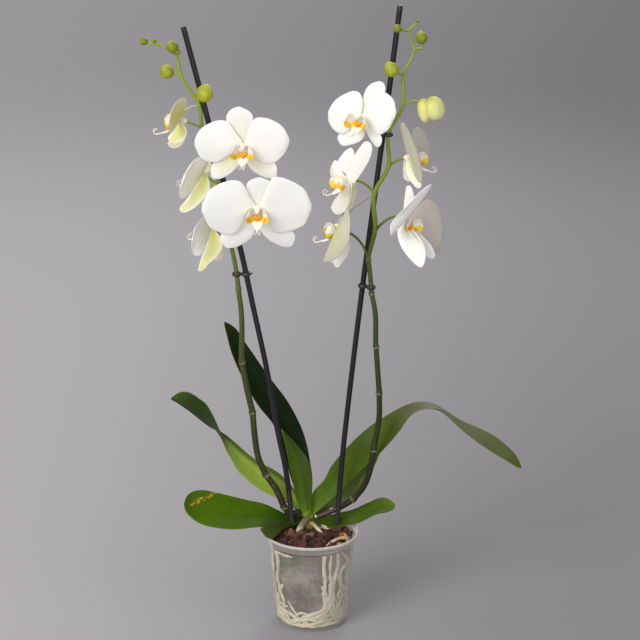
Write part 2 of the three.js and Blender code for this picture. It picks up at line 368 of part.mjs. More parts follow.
    at: [37.2, -4, 518.3], face: [-84, 24], roll: 0, size: 90,
    petals: [
      [[[38.4, -5, 518.2], [39.3, -2.6, 517]], [[37.7, -9, 525.8], [41.5, 1, 520.8]],
        [[54.6, -11, 551.2], [56.7, 3, 545.4]], [[64.3, -8, 556.7], [65.7, 0, 553]],
        [[70.4, -4, 559.2], [71.4, -2, 558.3]]],
      [[[36.2, -4.2, 520.3], [35.3, -4.2, 517.6]], [[36.5, -6, 522.6], [34.1, -6, 515.1]],
        [[44.2, -28, 550.3], [15.8, -28, 484.4]], [[46.7, -42, 534], [26.6, -42, 490]],
        [[46.1, -45, 519.9], [39.2, -45, 501.3]], [[45.5, -46, 514.6], [43.7, -46, 510.3]]],
      [[[36, -4.2, 520.4], [35.5, -4.2, 517.5]], [[35.4, 2, 519.3], [34.2, 2, 513]],
        [[38, 14, 529], [27, 14, 492.3]], [[39.3, 26, 533.6], [19.7, 26, 476.4]],
        [[40.7, 36, 522.4], [24.7, 36, 477.6]], [[39.9, 40, 503.5], [39.2, 40, 494.6]]],
      [[[37.4, -3.8, 517.6], [40.3, -3.8, 517.6]], [[39.1, -2, 509], [45.2, -2, 509]],
        [[31.8, -4, 484.3], [44.9, -4, 484.3]], [[27.6, -5, 475.7], [36.9, -5, 474.5]],
        [[29.7, -5, 470.3], [32.7, -5, 469.8]]],
      [[[37.4, -3.8, 517.9], [40.2, -3.8, 517.2]], [[36.7, 4, 510], [41.6, 4, 508.8]],
        [[30.6, 8, 495.1], [41.7, 8, 492.6]], [[25.8, 10, 481.9], [36.8, 10, 479.4]],
        [[25.4, 10, 472.2], [28.9, 10, 471.2]]],
    ],
  },
};
// Buds: centre, long axis, half width and half length.
const BUDS = {
  bud_l1: { at: [-126.3, -13, 686.9], face: [0.3, -0.1, 1], wide: 10.3, long: 11.1 },
  bud_l2: { at: [-172, 3, 710], face: [-0.2, 0, 1], wide: 8.3, long: 8.7 },
  bud_l3: { at: [-164.3, -2, 740.3], face: [-0.6, 0, 1], wide: 7.0, long: 7.8 },
  bud_l4: { at: [-186.2, 2, 747.1], face: [-1, 0, 0.3], wide: 2.4, long: 2.8 },
  bud_l5: { at: [-198.7, 3, 745.9], face: [-1, 0, -0.2], wide: 4.2, long: 5.4 },
  bud_r1: { at: [126.8, 0, 770.6], face: [1, 0, 0.3], wide: 2.1, long: 2.6 },
  bud_r2: { at: [102.6, -10, 763.5], face: [-0.5, 0, 1], wide: 5.0, long: 5.4 },
  bud_r3: { at: [131.3, 0, 751.1], face: [-0.2, 0, 1], wide: 7.0, long: 7.7 },
  bud_r4: { at: [95.5, -13, 715.5], face: [-0.4, 0, 0.8], wide: 8.5, long: 9.4 },
  bud_r5: { at: [145.7, 0, 665.9], face: [0.35, 0, -1], wide: 12.4, long: 14.9 },
};
// Clips: where each ring stands on its stake and on its stem.
const CLIPS = {
  clip_left: { stake: [-80.1, 6.3, 458.8], stem: [-91.7, 6, 458.8] },
  clip_right_low: { stake: [63.6, 7, 443.6], stem: [73.9, 0, 443.6] },
  clip_right_high: { stake: [87, 3, 634.3], stem: [93.3, 0, 634.3] },
};
// Roots against the wall: turn about the pot in degrees, height.
const WALL_ROOTS = [
  [[-147, 100], [-147, 84], [-153, 66], [-147, 46], [-140, 24], [-124, 8]],
  [[-172, 96], [-170, 60], [-166, 32], [-150, 9], [-126, 8]],
  [[-10, 16], [-34, 13], [-60, 12], [-80, 10], [-102, 8], [-126, 8]],
  [[-71, 100], [-71, 84], [-68, 64], [-70, 48], [-67, 30], [-76, 10]],
  [[-49, 100], [-47, 88], [-53, 70], [-53, 48], [-46, 24], [-30, 12]],
  [[-12, 98], [-14, 72], [-24, 60], [-10, 42], [-14, 14]],
  [[60, 100], [70, 60], [56, 30], [80, 9], [106, 12], [130, 12], [155, 9], [180, 8], [206, 8]],
  [[110, 98], [120, 50], [104, 24], [120, 11]],
  [[20, 98], [28, 60], [14, 24], [-14, 14]],
];
const CROWN = [-4, 20, 121];   // middle of the crown where it leaves the bark
const AERIAL_ROOTS = [
  [[-10.8, 14, 118, 3.6], [-12.7, 8, 125.3, 3.6], [-15.2, 2, 119.5, 3.4],
    [-17.6, -2, 113, 3], [-17.6, -2, 105, 3]],
  [[-3.1, 14, 118, 2.6], [0.8, 9, 123.5, 2.6], [8.4, 4, 118.7, 2.4],
    [14.8, 0, 110.7, 2.2], [14.8, 0, 105, 2.2]],
  [[0.7, 17, 118, 2.4], [13.6, 12, 121.6, 2.4], [27.7, 8, 117, 2.3],
    [44.2, 2, 112.7, 2], [44.2, 2, 105, 2]],
  [[0.7, 22, 118, 2.2], [18.7, 24, 121.5, 2.2], [34.2, 20, 114.8, 2.1],
    [49.5, 12, 112.6, 2], [46.2, 11.2, 105, 2]],
  [[-14.7, 20, 118, 2.4], [-25.1, 24, 118.7, 2.3], [-37.9, 20, 112, 2.2],
    [-37.9, 20, 105, 2.2]],
  [[-8.3, 28, 118, 2.4], [-14.9, 38, 118.5, 2.3], [-20.2, 44, 109, 2.2],
    [-19.8, 43.2, 105, 2.2]],
];

// ---------------------------------------------------------------- materials
function paint(color, roughness) {
  return new THREE.MeshStandardMaterial({ color, roughness, metalness: 0 });
}
const COLOURS = {
  pot: paint(0xc9cdc4, 0.35),
  bark: paint(0x5a3020, 0.9),
  root: paint(0xbdb995, 0.7),
  crown: paint(0x7f9a3a, 0.6),
  leaf: paint(0x3f6a14, 0.4),
  spike: paint(0x66802a, 0.5),
  stake: paint(0x242126, 0.35),
  petal: paint(0xefedea, 0.6),
  lip: paint(0xe8b830, 0.5),
  bud: paint(0xb0c440, 0.5),
};

// ---------------------------------------------------------------- solids
function bare(geometry) {
  geometry.deleteAttribute('normal');
  geometry.deleteAttribute('uv');
  return mergeVertices(geometry, 1e-4);
}

// Turns a closed three.js geometry into a solid that can be joined and cut.
function solid(geometry) {
  const merged = bare(geometry);
  return new wasm.Manifold(new wasm.Mesh({
    numProp: 3,
    vertProperties: Float32Array.from(merged.attributes.position.array),
    triVerts: Uint32Array.from(merged.index.array),
  }));
}

function join(solids) {
  return solids.reduce((sum, next) => sum.add(next));
}

// Keeps the largest body when a cut leaves loose scraps.
function largest(body) {
  return body.decompose().reduce((a, b) => (b.volume() > a.volume() ? b : a));
}

// The body without the room that its neighbours need.
function clearOf(body, neighbours) {
  return largest(neighbours.reduce((rest, other) => rest.subtract(other), body));
}

function node(name, body, material) {
  const found = body.getMesh();
  const geometry = new THREE.BufferGeometry();
  const points = new THREE.BufferAttribute(Float32Array.from(found.vertProperties), 3);
  geometry.setAttribute('position', points);
  geometry.setIndex(Array.from(found.triVerts));
  geometry.computeVertexNormals();
  const mesh = new THREE.Mesh(geometry, material);
  mesh.name = name;
  return mesh;
}

// Closed skin over rings with equal, even numbers of points. The two halves of a ring
// are split along opposite diagonals, so both faces of a thin blade fold alike.
function loft(rings) {
  const n = rings[0].length;
  const half = n / 2;
  const index = [];
  for (let i = 0; i + 1 < rings.length; i++) {
    for (let k = 0; k < n; k++) {
      const a = i * n + k;
      const b = i * n + ((k + 1) % n);
      const c = a + n;
      const d = b + n;
      if (k < half) index.push(a, b, d, a, d, c);
      else index.push(a, b, c, b, d, c);
    }
  }
  const last = (rings.length - 1) * n;
  for (let k = 0; k + 1 < half; k++) {
    const far = n - 1 - k;
    if (far - 1 > k + 1) index.push(k, far, far - 1, k, far - 1, k + 1);
    const e = last;
    if (far - 1 > k + 1) index.push(e + k, e + far - 1, e + far, e + k, e + k + 1, e + far - 1);
  }
  const geometry = new THREE.BufferGeometry();
  const flat = rings.flat().flatMap((p) => [p.x, p.y, p.z]);
  geometry.setAttribute('position', new THREE.Float32BufferAttribute(flat, 3));
  geometry.setIndex(index);
  const body = solid(geometry);
  return body.volume() < 0 ? solid(turned(geometry)) : body;
}

function turned(geometry) {
  const index = Array.from(geometry.index.array);
  for (let i = 0; i < index.length; i += 3) [index[i], index[i + 1]] = [index[i + 1], index[i]];
  return geometry.setIndex(index);
}

const vec = (p) => new THREE.Vector3(p[0], p[1], p[2]);

// A round stem through points [x, y, z, radius]; extra widens it to cut clearance.
function rod(stops, sides, extra = 0) {
  const points = stops.map(vec);
  let side = new THREE.Vector3(0.3, -1, 0.1);
  const rings = points.map((point, i) => {
    const before = points[Math.max(i - 1, 0)];
    const after = points[Math.min(i + 1, points.length - 1)];
    const along = after.clone().sub(before).normalize();
    side = side.clone().addScaledVector(along, -side.dot(along)).normalize();
    const up = along.clone().cross(side);
    const radius = stops[i][3] + extra;
    return Array.from({ length: sides }, (_, k) => {
      const turn = (2 * Math.PI * k) / sides;
      return point.clone().addScaledVector(side, radius * Math.cos(turn))
        .addScaledVector(up, radius * Math.sin(turn));
    });
  });
  return loft(rings);
}

// A smooth route through a few stops, with the radius eased between them.
function eased(stops, count) {
  const line = new THREE.CatmullRomCurve3(stops.map(vec), false, 'centripetal');
  return Array.from({ length: count }, (_, i) => {
    const t = i / (count - 1);
    const place = t * (stops.length - 1);
    const k = Math.min(Math.floor(place), stops.length - 2);
    const radius = stops[k][3] + (stops[k + 1][3] - stops[k][3]) * (place - k);
    const p = line.getPoint(t);
    return [p.x, p.y, p.z, radius];
  });
}

function ellipsoid(centre, radii, wide, high, tilt) {
  const geometry = new THREE.SphereGeometry(1, wide, high);
  const matrix = new THREE.Matrix4()
    .compose(vec(centre), tilt || new THREE.Quaternion(), vec(radii));
  return solid(geometry.applyMatrix4(matrix));
}

// A blade from rows of middle-surface points, thick in the middle and thin at its edges.
function blade(rows, thick, extra = 0) {
  const count = rows[0].length - 1;
  const rings = rows.map((row, i) => {
    const next = rows[Math.min(i + 1, rows.length - 1)];
    const prior = rows[Math.max(i - 1, 0)];
    const front = [];
    const back = [];
    row.forEach((point, j) => {
      const across = row[Math.min(j + 1, count)].clone().sub(row[Math.max(j - 1, 0)]);
      const along = next[j].clone().sub(prior[j]);
      const normal = across.cross(along).normalize();
      const edge = (2 * j) / count - 1;
      const depth = 0.5 * thick * (1 - 0.55 * edge * edge) + extra;
      const middle = point.clone().addScaledVector(across.normalize(), edge * extra);
      front.push(middle.clone().addScaledVector(normal, depth));
      back.push(middle.addScaledVector(normal, -depth));
    });
    return front.concat(back.reverse());
  });
  return loft(rings);
}

// ---------------------------------------------------------------- pot, bark and roots
function lathe(profile, sides) {
  const points = profile.map(([r, z]) => new THREE.Vector2(r, z));
  const geometry = new THREE.LatheGeometry(points, sides);
  const body = solid(geometry.rotateX(Math.PI / 2));
  return body.volume() < 0 ? solid(turned(bare(geometry))) : body;
}

// Outside radius of the tapering body at a height.
function bodyRadius(z) {
  return POT_BASE_RADIUS + (56 - POT_BASE_RADIUS) * (z / 112);
}

function potSolid() {
  const r = POT_RIM_RADIUS;
  const h = POT_HEIGHT;
  const outside = [[0, 0], [POT_BASE_RADIUS - 3, 0], [POT_BASE_RADIUS, 3], [bodyRadius(109), 109],
    [r - 2.8, 110.5], [r - 2.6, 116], [r - 0.4, 117.2], [r, h - 0.8], [r - 0.8, h]];
  const inside = [[r - 3, h], [r - 4.2, 117], [bodyRadius(104) - POT_WALL, 104],
    [POT_BASE_RADIUS - POT_WALL, 4], [POT_BASE_RADIUS - 4, 2.2], [0, 2.2], [0, 0]];
  const shell = lathe(outside.concat(inside), 28);
  const drains = Array.from({ length: 6 }, (_, k) => {
    const hole = new THREE.CylinderGeometry(4, 4, 8, 6).rotateX(Math.PI / 2);
    const turn = (k * Math.PI) / 3 + 0.3;
    return solid(hole.translate(30 * Math.cos(turn), 30 * Math.sin(turn), 1));
  });
  return shell.subtract(join(drains));
}

// A small repeatable draw in 0..1.
function drawer(seed) {
  let state = seed;
  return () => {
    state = (state * 1664525 + 1013904223) % 4294967296;
    return state / 4294967296;
  };
}

function chunk(draw, x, y, z, size) {
  const sides = [size, size * (0.6 + 0.4 * draw()), size * (0.5 + 0.3 * draw())];
  const box = new THREE.BoxGeometry(...sides);
  box.rotateZ(draw() * 3).rotateX((draw() - 0.5) * 0.9).rotateY((draw() - 0.5) * 0.9);
  return solid(box.translate(x, y, z));
}

function barkSolid() {
  const foot = 3.2;
  const space = ROOT_SPACE + POT_WALL + 2.6;
  const bed = lathe([[0, foot], [bodyRadius(foot) - space, foot], [bodyRadius(101) - space - 0.6, 101],
    [POT_RIM_RADIUS - 7, 107], [POT_RIM_RADIUS - 6.1, BARK_LEVEL - 3], [40, BARK_LEVEL - 1],
    [0, BARK_LEVEL], [0, foot]], 14);
  const draw = drawer(7);
  const chunks = [];
  for (let k = 0; k < 10; k++) {
    const reach = Math.sqrt((k + 0.5) / 10) * 41;
    const turn = k * 2.39996;
    const size = 14 + 5 * draw();
    chunks.push(chunk(draw, reach * Math.cos(turn), reach * Math.sin(turn), BARK_LEVEL - 1.5, size));
  }
  return join([bed, ...chunks]);
}

// Roots that run down and round between the bark and the wall, joined where they cross.
function wallRoots() {
  const strands = WALL_ROOTS.map((route) => {
    const stops = route.map(([turn, z]) => {
      const reach = bodyRadius(z) - POT_WALL - ROOT_SPACE / 2 - 0.3;
      const angle = THREE.MathUtils.degToRad(turn);
      return [reach * Math.cos(angle), reach * Math.sin(angle), z, ROOT_SPACE / 2 - 0.7];
    });
    return rod(stops, 4);
  });
  return largest(join(strands));
}

// ---------------------------------------------------------------- leaves
// Rows of points between the two measured edges of a leaf, with its middle sunk.
function leafRows([edges, sink]) {
  return edges.map(([a, b], i) => {
    const next = edges[Math.min(i + 1, edges.length - 1)];
    const prior = edges[Math.max(i - 1, 0)];
    const along = vec(next[0]).add(vec(next[1])).sub(vec(prior[0])).sub(vec(prior[1]));
    const across = vec(b).sub(vec(a));
    const down = across.clone().cross(along).normalize();
    if (down.z > 0) down.negate();
    const depth = sink * Math.min(1, across.length() / 40);
    return [0, 0.25, 0.5, 0.75, 1].map((t) => vec(a).addScaledVector(across, t)
      .addScaledVector(down, depth * (1 - Math.abs(2 * t - 1))));
  });
}

// ---------------------------------------------------------------- flowers
// Rows of middle-surface points between the measured edges of a petal, bowed towards out.
function petalRows(edges, columns, bow) {
  return edges.map(([a, b]) => Array.from({ length: columns + 1 }, (_, j) => {
    const v = (2 * j) / columns - 1;
    const span = vec(b).sub(vec(a));
    const rise = Math.min(1, span.length() / 30) * (1 - v * v);
    return vec(a).addScaledVector(span, (v + 1) / 2).addScaledVector(bow, rise);
  }));
}

const mirrored = (rows) => rows.map((row) => row.map((p) => new THREE.Vector3(-p.x, p.y, p.z)));

function flowerFrame({ at, face, roll }) {
  const [az, el] = face.map(THREE.MathUtils.degToRad);
  const level = Math.cos(el);
  const out = new THREE.Vector3(Math.sin(az) * level, -Math.cos(az) * level, Math.sin(el));
  const right = new THREE.Vector3(Math.cos(az), Math.sin(az), 0);
  const up = out.clone().cross(right);
  const turn = new THREE.Matrix4().makeRotationZ(THREE.MathUtils.degToRad(roll));
  return new THREE.Matrix4().makeBasis(right, up, out).multiply(turn).setPosition(vec(at));
}

// A lip hangs level however far its flower looks up.
function lipFrame(flower) {
  const level = new THREE.Matrix4().makeRotationX(THREE.MathUtils.degToRad(Math.max(0, flower.face[1])));
  return flowerFrame(flower).multiply(level);
}

function placed(body, matrix) {
  return body.transform(matrix.elements);
}

// The column that carries the petals, in the flower's own frame.
function columnSolid({ size }, extra = 0) {
  const s = size / 100;
  return rod([[0, 0.5 * s, -4 * s - extra, 4.4 * s], [0, 1.6 * s, 2 * s, 3.9 * s],
    [0, 2.4 * s, 8.5 * s + extra, 2.9 * s]], 6, extra);
}

// Sepals behind, petals before them, all rooted in the column; extra gives the room it needs.
function bloomSolid(flower, extra = 0) {
  const matrix = flowerFrame(flower);
  const out = new THREE.Vector3(0, 0, 1).transformDirection(matrix);
  const blades = flower.petals.map((edges, i) => {
    const broad = i === 1 || i === 2;
    const rows = petalRows(edges, 2, out.clone().multiplyScalar(broad ? 2.5 : 1.2));
    return blade(rows, PETAL_THICKNESS, extra);
  });
  return join([...blades, placed(columnSolid(flower, extra), matrix)]);
}

// Middle line of the middle lobe and of a side lobe, and half width, in hundredths of the span.
const LIP_MIDDLE = [[0, -5.6, 8, 3.4], [0, -8.6, 11.4, 6.2], [0, -12, 18.6, 4.6], [0, -13.4, 23.4, 1.2]];
const LIP_SIDE = [[3, -7.6, 9, 3.6], [7.4, -7.8, 11, 6], [10.2, -3.4, 12.4, 7.2], [9, 4.4, 13.8, 4.2]];

// The lip below the column: a pointed middle lobe, two raised side lobes and the callus.
function lipSolid() {
  const s = LIP_SPAN / 100;
  const point = (x, y, z) => new THREE.Vector3(x * s, y * s, z * s);
  const middle = LIP_MIDDLE.map(([x, y, z, half]) => [-1, 0, 1]
    .map((v) => point(x + half * v, y - 1.6 * v * v, z)));
  const side = LIP_SIDE.map(([x, y, z, half]) => [-1, 0, 1]
    .map((v) => point(x + 0.5 * half * v - 1.4 * v * v, y - 0.25 * half * v, z + 0.8 * half * v)));
  const callus = new THREE.BoxGeometry(5.5 * s, 5 * s, 10 * s).rotateX(0.25).translate(0, -4.4 * s, 7 * s);
  return largest(join([
    blade(middle, 1.8), blade(side, 1.4), blade(mirrored(side), 1.4), solid(callus),
  ]));
}

// ---------------------------------------------------------------- assembly
const orchid = new THREE.Group();
const add = (name, body, material) => orchid.add(node(name, body, material));

const stakes = Object.entries(STAKES).map(([name, stops]) => ({
  name, body: rod(stops, 8), room: rod(stops, 8, GAP),
}));
const stakeRoom = stakes.map((stake) => stake.room);

const pot = potSolid();
const bed = clearOf(barkSolid(), stakeRoom);
const roots = wallRoots();
add('pot', pot, COLOURS.pot);
add('wall_roots', roots, COLOURS.root);
stakes.forEach(({ name, body }) => add(name, body, COLOURS.stake));

const collar = join([
  ellipsoid([CROWN[0], CROWN[1], CROWN[2] - 6], [10, 10, 5], 10, 6),
  ...AERIAL_ROOTS.map((stops) => rod(eased(stops, 5), 4)),
]);
const collarRoom = join([
  ellipsoid([CROWN[0], CROWN[1], CROWN[2] - 6], [10 + GAP, 10 + GAP, 5 + GAP], 10, 6),
  ...AERIAL_ROOTS.map((stops) => rod(eased(stops, 5), 4, GAP)),
]);
const crownAt = (x, y, z, radius) => [CROWN[0] + x, CROWN[1] + y, CROWN[2] + z, radius];
const stemOf = (extra) => rod([
  crownAt(0, 0, -0.6, 8 + extra), crownAt(0, 0, 9, 8.5 + extra),
  crownAt(1, 3, 22, 6 + extra), crownAt(1, 4, 30, 3 + extra),
], 10);
const crown = stemOf(0);
const crownRoom = stemOf(GAP);

// Spikes with their pedicels; each stands clear of the crown, the stakes and its own flowers.
const flowerRooms = Object.values(FLOWERS)
  .map((flower) => placed(columnSolid(flower, GAP), flowerFrame(flower)));
const budTilt = ({ face }) => new THREE.Quaternion().setFromUnitVectors(
  new THREE.Vector3(0, 1, 0), vec(face).normalize());
const budOf = (bud, extra) => ellipsoid(bud.at, [bud.wide + extra, bud.long + extra, bud.wide + extra],
  8, 5, budTilt(bud));
const budRooms = Object.values(BUDS).map((bud) => budOf(bud, GAP));
const spikes = Object.entries(SPIKES).map(([name, { stem, stalks }]) => {
  const build = (extra) => join([
    rod(stem, 6, extra),
    ...stalks.map((stops) => rod(stops, 4, extra)),
  ]);
  return { name, body: clearOf(build(0), [...flowerRooms, ...budRooms]), room: build(GAP) };
});
const crownBody = clearOf(crown, spikes.map((s) => s.room));
const spikeRoom = spikes.map((spike) => spike.room);
add('bark_bed', clearOf(bed, [collarRoom, crownRoom, ...spikeRoom]), COLOURS.bark);
add('aerial_roots', clearOf(collar, [crownRoom, ...stakeRoom, ...spikeRoom]), COLOURS.root);
add('crown', clearOf(crownBody, stakeRoom), COLOURS.crown);
spikes.forEach(({ name, body }) => add(name, clearOf(body, stakeRoom), COLOURS.spike));

// Leaves, front ones first; each one behind gives way to those before it.
let ahead = [crownRoom, collarRoom, ...stakeRoom, ...spikeRoom];
for (const [name, outline] of Object.entries(LEAVES)) {
  const rows = leafRows(outline);
  add(name, clearOf(blade(rows, LEAF_THICKNESS), ahead), COLOURS.leaf);
  ahead = [...ahead, blade(rows, LEAF_THICKNESS, GAP)];
}

// Clips: a ring round the stake joined by a short web to a ring round the stem.
function ringAt([x, y, z], inner) {
  const profile = [[inner, -2], [inner + 1.8, -2], [inner + 1.8, 2], [inner, 2], [inner, -2]];
  return lathe(profile, 8).translate([x, y, z]);
}
for (const [name, { stake, stem }] of Object.entries(CLIPS)) {
  const span = vec(stem).sub(vec(stake)).normalize();
  const start = vec(stake).addScaledVector(span, 4.6).toArray();
  const end = vec(stem).addScaledVector(span, -4.3).toArray();
  const rings = [ringAt(stake, 3.95), ringAt(stem, 3.6), rod([[...start, 1.6], [...end, 1.6]], 4)];
  add(name, clearOf(join(rings), [...stakeRoom, ...spikeRoom]), COLOURS.stake);
}

Object.entries(BUDS).forEach(([name, bud]) => add(name, budOf(bud, 0), COLOURS.bud));

// Only a stalk's free length keeps a bloom at bay: its end is already cut to the column.
const columns = join(Object.values(FLOWERS)
  .map((flower) => placed(columnSolid(flower), flowerFrame(flower))));
const petalsAhead = [...stakeRoom, ...spikeRoom.map((room) => room.subtract(columns))];
for (const [letter, flower] of Object.entries(FLOWERS)) {
  const body = clearOf(bloomSolid(flower), petalsAhead);
  const lip = clearOf(placed(lipSolid(), lipFrame(flower)), [bloomSolid(flower, GAP), body]);
  add(`bloom_${letter}`, body, COLOURS.petal);
  add(`lip_${letter}`, lip, COLOURS.lip);
}

export default orchid;
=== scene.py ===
# %% [markdown]
# # A white moth orchid with two flower spikes, in a clear nursery pot
# The real plant is a tangle of soft sheets and thin tubes: strap leaves, waxy petals, stems held to black
# stakes, and roots seen through a milky pot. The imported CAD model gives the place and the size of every
# piece. Here each piece is made again, finer, in the same place.
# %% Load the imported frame
import math
import random

import bpy
import numpy as np
from mathutils import Matrix, Vector


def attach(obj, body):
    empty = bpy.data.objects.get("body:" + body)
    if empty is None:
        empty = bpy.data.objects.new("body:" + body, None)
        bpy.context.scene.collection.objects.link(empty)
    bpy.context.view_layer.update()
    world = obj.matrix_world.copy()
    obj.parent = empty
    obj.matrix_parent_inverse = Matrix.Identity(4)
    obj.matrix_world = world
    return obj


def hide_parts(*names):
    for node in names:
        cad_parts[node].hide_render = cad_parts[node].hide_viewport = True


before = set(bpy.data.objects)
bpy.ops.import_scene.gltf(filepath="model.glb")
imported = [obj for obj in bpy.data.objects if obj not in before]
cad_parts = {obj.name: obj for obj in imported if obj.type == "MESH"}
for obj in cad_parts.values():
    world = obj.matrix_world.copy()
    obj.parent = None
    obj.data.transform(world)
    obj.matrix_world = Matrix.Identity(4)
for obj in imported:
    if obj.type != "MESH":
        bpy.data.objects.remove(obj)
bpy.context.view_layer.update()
MM = 0.001            # tables below are in millimetres, Blender works in metres
VIEW_SLOPE = 0.298    # how far a nearer point drops in the picture, for each unit that it is nearer

# %% [markdown]
# ## The view
# The photograph looks slightly down on the plant with a long lens. A long lens far away keeps the
# upright stakes straight, so the camera stands 2.4 m off, turned 73.4 degrees up from straight down.
# %% Camera
def started(add, **settings):
    """Deselects everything, adds an object and hands it over."""
    bpy.ops.object.select_all(action="DESELECT")
    add(**settings)
    return bpy.context.object


camera = started(bpy.ops.object.camera_add, location=(0.011, -2.370, 1.108),
                 rotation=(math.radians(73.4), 0, 0))
camera.name = "studio_camera"
camera.data.lens = 112.5
camera.data.sensor_width = 36
bpy.context.scene.camera = camera
print("lens", camera.data.lens, "mm")

# %% [markdown]
# ## Floor and light
# A plain pale floor runs far back, so it fills the picture behind the plant as seamless paper would.
# A big soft light and a wide window sun come from the left in front. A weaker light fills from the right,
# one low in front brightens the pot, one behind draws the rims, and the sky lifts the shadows. Big lights
# near the plant give white petals soft shading instead of hard edges.
# %% Floor
FLOOR_BACK = 12.0     # the floor's middle lies this far behind the plant, in metres
floor = started(bpy.ops.mesh.primitive_plane_add, size=60, location=(0, FLOOR_BACK, 0))
floor.name = "floor"
print("floor", tuple(round(v, 1) for v in floor.dimensions))

# %% Lights
def softbox(name, place, aim, size, power, tint):
    """A square area light at place, turned to face aim."""
    lamp = started(bpy.ops.object.light_add, type="AREA", location=place)
    lamp.name = name
    lamp.rotation_euler = (Vector(aim) - Vector(place)).to_track_quat("-Z", "Y").to_euler()
    lamp.data.size = size
    lamp.data.energy = power
    lamp.data.color = tint


MIDDLE = (0.0, 0.0, 0.4)
softbox("key_left", (-1.5, -2.5, 1.7), MIDDLE, 1.6, 33, (1.0, 0.985, 0.965))
window = started(bpy.ops.object.light_add, type="SUN", rotation=(math.radians(54), 0, math.radians(-44)))
window.name = "window_left"
window.data.energy, window.data.angle, window.data.color = 1.35, math.radians(30), (1.0, 0.99, 0.97)
softbox("fill_right", (2.3, -1.7, 1.3), MIDDLE, 1.8, 10, (0.97, 0.98, 1.0))
softbox("low_front", (0.2, -3.3, 0.75), (0.0, 0.0, 0.6), 1.2, 24, (1.0, 0.99, 0.98))
softbox("back_rim", (0.6, 2.2, 2.2), MIDDLE, 1.4, 26, (1.0, 1.0, 1.0))
world = bpy.data.worlds.new("studio_air")
bpy.context.scene.world = world
world.use_nodes = True
world.node_tree.nodes["Background"].inputs["Color"].default_value = (0.95, 0.94, 0.94, 1)
world.node_tree.nodes["Background"].inputs["Strength"].default_value = 0.5
bpy.context.scene.view_settings.view_transform = "Standard"

# %% [markdown]
# ## Writing finishes as sums
# Plant surfaces are never one flat colour. A finish mixes noise, bands and places on the piece. Wiring
# nodes by hand gets long, so a small class wraps a socket and lets numbers that vary over a surface be
# added and multiplied as in ordinary Python. Colours and directions go through Mix and Vector nodes.
# %% Field and Finish
def shades_of(colour):
    """Turns a colour as seen on a screen, 0 to 255, into the linear numbers that shaders use."""
    if not isinstance(colour, tuple):
        return colour
    shares = [c / 255 for c in colour]
    return (*(c / 12.92 if c <= 0.04045 else ((c + 0.055) / 1.055) ** 2.4 for c in shares), 1.0)


class Field:
    """One output socket that holds a number varying over the surface."""

    def __init__(self, finish, socket):
        self.finish, self.socket = finish, socket

    def _sum(self, operation, *values):
        node = self.finish.node("ShaderNodeMath", {"operation": operation}, dict(enumerate(values)))
        return Field(self.finish, node.outputs[0])

    def __add__(self, other):
        return self._sum("ADD", self, other)

    def __sub__(self, other):
        return self._sum("SUBTRACT", self, other)

    def __rsub__(self, other):
        return self._sum("SUBTRACT", other, self)

    def __mul__(self, other):
        return self._sum("MULTIPLY", self, other)

    def __truediv__(self, other):
        return self._sum("DIVIDE", self, other)

    def __pow__(self, other):
        return self._sum("POWER", self, other)

    def __abs__(self):
        return self._sum("ABSOLUTE", self)

    __radd__, __rmul__ = __add__, __mul__

    def sine(self):
        return self._sum("SINE", self)

    def over(self, low, high):
        """0 below low, 1 above high, smooth between them."""
        node = self.finish.node("ShaderNodeMapRange", {"interpolation_type": "SMOOTHSTEP"},
                                {"Value": self, "From Min": low, "From Max": high})
        return Field(self.finish, node.outputs[0])


